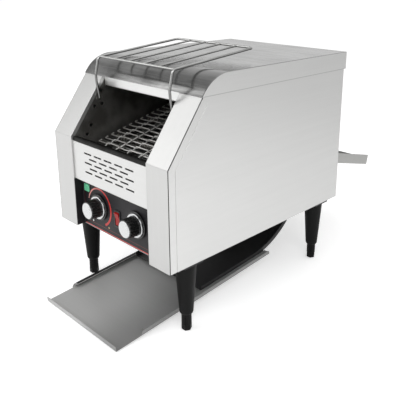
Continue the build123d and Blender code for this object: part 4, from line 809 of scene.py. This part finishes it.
# ---- Rotary controls -------------------------------------
# Potentiometer and mode switch behind the panel, each with a fluted black knob that has a bright
# ring round its skirt and a spun aluminium disc on its face.
gloss_moulding = speckled_coat("glossy_phenolic_knob", "#131313", "#1A1A1A", 0.22, 0.5, 0.01)
chrome_ring = turned_metal("chromed_knob_ring", "#D4D5D6", 0.12)
spun_disc, disc_tree, disc_place = new_finish("spun_aluminium_disc")
to_axes = []
for side in (-1, 1):
    knob_axis = (-side * knob_x * mm, 0, -knob_z * mm)
    offset = add(disc_tree, "ShaderNodeMapping", {"Vector": disc_place, "Location": knob_axis})
    offset = add(disc_tree, "ShaderNodeVectorMath", {0: offset, 1: (1.0, 0.0, 1.0)}, operation="MULTIPLY")
    to_axes.append(add(disc_tree, "ShaderNodeVectorMath", {0: offset}, operation="LENGTH"))
nearest = add(disc_tree, "ShaderNodeMath", {0: to_axes[0], 1: to_axes[1]}, operation="MINIMUM")
# Lathe rings 0.5 mm apart, drawn wider than the tool's 0.1 mm feed so that they show.
ring_turns = 2 * math.pi / (0.5 * mm)
ring_wave = add(disc_tree, "ShaderNodeMath", {0: nearest, 1: ring_turns}, operation="MULTIPLY")
ring_wave = add(disc_tree, "ShaderNodeMath", {0: ring_wave}, operation="SINE")
ring_tone = add(
    disc_tree, "ShaderNodeMix", {0: ring_wave, 6: linear("#CFD0D0"), 7: linear("#DDDEDE")}, data_type="RGBA"
)
ring_bump = add(disc_tree, "ShaderNodeBump", {"Strength": 0.2, "Distance": 0.02 * mm, "Height": ring_wave})
disc_gloss = add(disc_tree, "ShaderNodeMapRange", {"Value": ring_wave, "To Min": 0.26, "To Max": 0.36})
adjusted(spun_disc, {"Base Color": ring_tone, "Normal": ring_bump, "Roughness": disc_gloss, "Metallic": 1.0})

knob_back_y, knob_face_y = -189.4, -212.1
flutes, columns_per_flute = 18, 8


def knob_rings(side, profile, steps):
    """Rings round a knob's axis. `profile` lists (radius, y, depth of the flutes) in mm."""
    rings = []
    for radius, y, groove in profile:
        ring = []
        for step in range(steps):
            angle = 2 * math.pi * step / steps
            reach = radius - groove * max(0.0, math.cos(flutes * angle)) ** 2
            x, z = side * knob_x + reach * math.cos(angle), knob_z + reach * math.sin(angle)
            ring.append(Vector((x, y, z)) * mm)
        rings.append(ring)
    return rings


grip_profile = (
    (9.0, knob_back_y - 5.0, 0.0),
    (9.0, knob_back_y, 0.0),
    (21.6, knob_back_y, 0.0),
    (22.0, knob_back_y - 0.4, 0.0),
    (22.0, knob_back_y - 2.2, 0.0),
    (21.4, knob_back_y - 2.9, 0.0),
    (19.2, knob_back_y - 3.0, 0.0),
    (15.6, knob_back_y - 3.1, 0.0),
    (15.5, knob_back_y - 5.6, 0.0),
    (15.5, knob_back_y - 6.2, 0.8),
    (14.9, knob_face_y + 1.4, 0.8),
    (14.7, knob_face_y + 0.7, 0.3),
    (14.3, knob_face_y + 0.15, 0.0),
    (13.6, knob_face_y, 0.0),
)
disc_profile = (
    (13.0, knob_face_y, 0.0),
    (13.0, knob_face_y - 0.55, 0.0),
    (12.6, knob_face_y - 0.9, 0.0),
    (11.6, knob_face_y - 0.9, 0.0),
    (11.2, knob_face_y - 0.7, 0.0),
    (0.4, knob_face_y - 0.75, 0.0),
)
for knob, side in (("speed_knob", -1), ("mode_knob", 1)):
    grip = skinned(f"{knob}_moulding", knob_rings(side, grip_profile, flutes * columns_per_flute))
    place_piece(f"{knob}_moulding", grip, gloss_moulding, "knob_plastic", knob, knob)
    formed(f"{knob}_ring", chrome_ring, "chromed_ring", bend=0.4, edge=0.3)
    disc = skinned(f"{knob}_disc", knob_rings(side, disc_profile, 72))
    place_piece(f"{knob}_disc", disc, spun_disc, "spun_aluminium", knob, f"{knob}_cap")

black_phenolic = speckled_coat("black_phenolic", "#1B1B1B", "#232323", 0.42, 0.8, 0.03)
for node in ("speed_potentiometer", "mode_switch"):
    formed(node, black_phenolic, "black_plastic", bend=0.6, edge=0.3)
for node in ("speed_spindle", "mode_spindle"):
    formed(node, turned_steel, "machined_steel", bend=0.4, edge=0.3)

# ---- Rocker switch ---------------------------------------
# Red rocker on two pins in a snap-in black housing.
red_moulding = speckled_coat("translucent_red_rocker", "#980F0D", "#A81A15", 0.42, 0.6, 0.01)
adjusted(
    red_moulding,
    {"Specular IOR Level": 0.3, "Subsurface Weight": 0.15, "Subsurface Radius": (0.002, 0.0006, 0.0004)},
)
formed("rocker_button", red_moulding, "red_plastic", bend=0.5, edge=0.3, stepped=True)
formed("rocker_housing", black_phenolic, "black_plastic", bend=0.5, edge=0.3)

# ---- Pilot lamp ------------------------------------------
# Square green lens, moulded with a low dome, over a neon lamp body behind the panel.
green_moulding, lens_tree, lens_place = new_finish("translucent_green_lens")
prisms = add(lens_tree, "ShaderNodeTexWave", {"Vector": lens_place, "Scale": 1 / (6.28 * mm)}).outputs["Fac"]
lens_bump = add(lens_tree, "ShaderNodeBump", {"Strength": 0.25, "Distance": 0.1 * mm, "Height": prisms})
lens_shade = add(
    lens_tree, "ShaderNodeMix", {0: prisms, 6: linear("#5EE0A0"), 7: linear("#9CF7CB")}, data_type="RGBA"
)
adjusted(
    green_moulding,
    {"Base Color": lens_shade, "Normal": lens_bump, "Roughness": 0.16, "Transmission Weight": 0.25},
)
formed("pilot_lens", green_moulding, "green_lens", bend=0.9, edge=0.5)
formed("pilot_lamp", black_phenolic, "black_plastic", bend=0.5, edge=0.3)

# ---- Parts inside the control box ------------------------
# Finned speed controller and terminal block on the box's floor.
formed("speed_controller", black_phenolic, "black_plastic", bend=0.5, edge=0.2)
formed("terminal_block", glazed_ceramic, "white_ceramic", bend=0.5, edge=0.25)

# ---- Curved chute ----------------------------------------
# Black-coated sheet, curved behind the belt, that turns the toast forward onto the output tray.
black_coat = speckled_coat("satin_black_coat", "#1D1D1E", "#262627", 0.38, 0.9, 0.03)
formed("curved_chute", black_coat, "black_coated_steel", bend=0.6, edge=0.15)
formed("chute_brackets", zinc_sheet, "galvanised_steel", bend=0.6, edge=0.15)

# ---- Trays -----------------------------------------------
# Output tray with folded rails and a front lip, which slides in under the casing, and the sloping
# rear tray with two side walls, both of plain brushed sheet duller than the casing's.
tray_sheet = brushed_sheet("brushed_tray_sheet", "#BDBDBC", (1, 0, 0), 0.50, 0.03, 0.05, 0.4)
# Painted shade: the tray's colour darkens towards its right edge.
tray_tree = tray_sheet.node_tree
rightwards = along_axis(tray_tree, "X")
right_edge_shade = add(
    tray_tree,
    "ShaderNodeMapRange",
    {"Value": rightwards, "From Min": -20 * mm, "From Max": 95 * mm, "To Min": 1.0, "To Max": 0.55},
    interpolation_type="SMOOTHSTEP",
)
toned(tray_sheet, right_edge_shade)
formed("output_tray", tray_sheet, "brushed_stainless", bend=1.0, stepped=True)
# Black nylon liners in the rails let the tray slide on the chute's tongues. The left rail's top is
# lined too, where a hand steadies the tray.
slide_nylon = speckled_coat("black_nylon_liner", "#121212", "#1B1B1B", 0.45, 1.2, 0.03)
tray_tip, tray_slope = Vector((0.0, -269.0, 1.0)), math.radians(4.6)
tray_along = Vector((0.0, math.cos(tray_slope), math.sin(tray_slope)))
tray_up = Vector((0.0, -math.sin(tray_slope), math.cos(tray_slope)))
for name, side, near_x, far_x, low, high in (
    ("left_rail_liner", -1, 93.1, 93.48, 1.05, 5.95),
    ("right_rail_liner", 1, 93.1, 93.48, 1.05, 5.95),
    ("left_rail_top_liner", -1, 88.3, 94.2, 7.02, 7.3),
):
    rows = []
    for run in (54.0, 334.0):
        section = ((near_x, low), (far_x, low), (far_x, high), (near_x, high))
        start = tray_tip + tray_along * run
        rows.append([(start + tray_up * up + Vector((side * x, 0.0, 0.0))) * mm for x, up in section])
    place_piece(name, skinned(name, rows), slide_nylon, "black_plastic", "output_tray")
rear_sheet = brushed_sheet("brushed_rear_tray", "#B4B4B2", (1, 0, 0), 0.38)
formed("rear_tray", rear_sheet, "brushed_stainless", bend=1.0, stepped=True)

# ---- Legs and feet ---------------------------------------
# Tapered black moulded legs, bolted through square plates, with screw-in feet.
leg_moulding = speckled_coat("black_nylon_leg", "#060606", "#0C0C0C", 0.5, 1.1, 0.04)
adjusted(leg_moulding, {"Specular IOR Level": 0.16})
leg_profile = (
    (4.05, 60.0),
    (4.05, 28.5),
    (9.0, 28.5),
    (9.6, 28.9),
    (10.6, 30.6),
    (10.75, 31.4),
    (10.95, 34.0),
    (16.25, 109.2),
    (16.5, 110.4),
    (16.5, 112.4),
    (16.0, 113.0),
)
leg_steps = 64
for across_name, x in (("left", -123.5), ("right", 123.5)):
    for along_name, y in (("front", -160.0), ("rear", 160.0)):
        corner = f"{along_name}_{across_name}"
        rows = []
        for radius, z in leg_profile:
            angles = [2 * math.pi * step / leg_steps for step in range(leg_steps)]
            ring = [(x + radius * math.cos(angle), y + radius * math.sin(angle), z) for angle in angles]
            rows.append([Vector(spot) * mm for spot in ring])
        place_piece(f"leg_{corner}", skinned("leg", rows), leg_moulding, "black_plastic", "casing", "legs")
        formed(f"foot_{corner}", leg_moulding, "black_plastic", bend=0.3, edge=0.2, stepped=True)
formed("leg_plates", black_coat, "black_coated_steel", bend=0.5, edge=0.3)
formed("leg_bolts", zinc_plate, "zinc_plated_steel", bend=0.5, edge=0.3)

# ---- Wire rack -------------------------------------------
# Warming rack of welded, polished stainless wire, sprung into two holes in the chamber plates.
rack_steel = heat_stained("polished_rack_wire", "#E0E0DF", "#CFCFCD", 0.2)
# Painted shade: the wires' sides and undersides are greyer than their upper sides.
rack_tree = rack_steel.node_tree
upwards = along_axis(rack_tree, "Z", "Normal")
wire_underside_shade = add(rack_tree, "ShaderNodeMapRange", {"Value": upwards, "From Max": 0.6, "To Min": 0.3})
toned(rack_steel, wire_underside_shade)
# Corners of one arm and half the rear run, each with its bend radius.
rack_arm = [
    (Vector((-98.5, -149.0, 322.0)), 0.0),
    (Vector((-90.0, -149.0, 322.0)), 3.0),
    (Vector((-90.0, -153.5, 350.0)), 7.0),
    (Vector((-90.0, -154.5, 362.0)), 7.0),
    (Vector((-90.0, -148.0, 390.0)), 7.0),
    (Vector((-90.0, 20.0, 406.18)), 7.0),
]
rack_loop = rack_arm + [(Vector((-spot.x, spot.y, spot.z)), bend) for spot, bend in rack_arm[::-1]]
cross_front, cross_rear = Vector((0.0, -145.0, 390.29)), Vector((0.0, 20.0, 406.18))
half_cross = Vector((90.0, 0.0, 0.0))
thick_runs = [rack_loop, [(cross_front - half_cross, 0.0), (cross_front + half_cross, 0.0)]]
thin_runs = []
for wire_x in (-54.0, -18.0, 18.0, 54.0):
    offset = Vector((wire_x, 0.0, 0.0))
    thin_runs.append([(cross_front + offset, 0.0), (cross_rear + offset, 0.0)])

# Resistance welds swell each joint a little: one bead where a wire runs into another.
bead_tree, given = new_tree("weld_beads", "Places", {"Bead radius": "Float"}, "Beads")
ball = add(
    bead_tree, "GeometryNodeMeshUVSphere", {"Segments": 20, "Rings": 12, "Radius": given["Bead radius"]}
)
beads = add(bead_tree, "GeometryNodeInstanceOnPoints", {"Points": given["Places"], "Instance": ball})
close_tree(bead_tree, beads, given["Metal"], smooth=False)
weld_reach = (cross_rear - cross_front).normalized() * 2.2
thin_welds = [run[0][0] + weld_reach for run in thin_runs] + [run[1][0] - weld_reach for run in thin_runs]
cross_reach = half_cross * 0.975
thick_welds = [cross_front - cross_reach, cross_front + cross_reach]


def joined(name, meshes):
    """One mesh from several."""
    form = bmesh.new()
    for mesh in meshes:
        form.from_mesh(mesh)
    whole = bpy.data.meshes.new(name)
    form.to_mesh(whole)
    form.free()
    return whole


rack_parts = []
for welds, radius in ((thin_welds, 1.85), (thick_welds, 2.35)):
    sizes = {"Bead radius": radius * mm, "Metal": rack_steel}
    rack_parts.append(run_tree("weld_part", bead_tree, points_at("weld_places", welds), sizes))
for runs, radius in ((thick_runs, 2.0), (thin_runs, 1.5)):
    sizes = {"Wire radius": radius * mm, "Sides": 20, "Bend steps": 8, "Metal": rack_steel}
    rack_parts.append(run_tree("rack_part", wire_tree, wire_runs("rack_runs", runs), sizes))
welded_rack = joined("welded_rack", rack_parts)
place_piece("welded_rack", welded_rack, rack_steel, "rack_wire", "wire_rack", "wire_rack")

# ---- Screws and gland ------------------------------------
# Pan-head screws that hold the back panel and the rear tray, and the supply cable's black gland.
screws = formed("casing_screws", zinc_plate, "zinc_plated_steel", bend=0.4, edge=0.25)
# Each head has a cross recess, 3.4 mm across and 1 mm deep.
arm, half_arm, recess_ends = 1.7, 0.4, (-1.0, 0.4)
cross_outline = [(arm, half_arm), (half_arm, half_arm), (half_arm, arm)]
cross_outline += [(-x, z) for x, z in cross_outline[::-1]]
cross_outline += [(x, -z) for x, z in cross_outline[::-1]]
head_faces = [(side * 134.0, 211.0, z) for side in (-1, 1) for z in (135.0, 205.0, 275.0, 345.0)]
head_faces += [(-107.0, 212.0, 183.0), (107.0, 212.0, 183.0)]
cutters = []
for middle_x, face_y, middle_z in head_faces:
    rings = []
    for depth in recess_ends:
        spots = [(middle_x + x, face_y + depth, middle_z + z) for x, z in cross_outline]
        rings.append([Vector(spot) * mm for spot in spots])
    cutters.append(skinned("recess", rings))
recesses = stood("cross_recesses", joined("cross_recesses", cutters))
uncut = stood("casing_screws_cut", screws.data.copy())
cut = uncut.modifiers.new("recess", "BOOLEAN")
cut.operation, cut.solver, cut.object = "DIFFERENCE", "EXACT", recesses
screws.data = baked(uncut)
bpy.data.objects.remove(recesses)
formed("cable_gland", black_phenolic, "black_plastic", bend=0.4, edge=0.2, stepped=True)
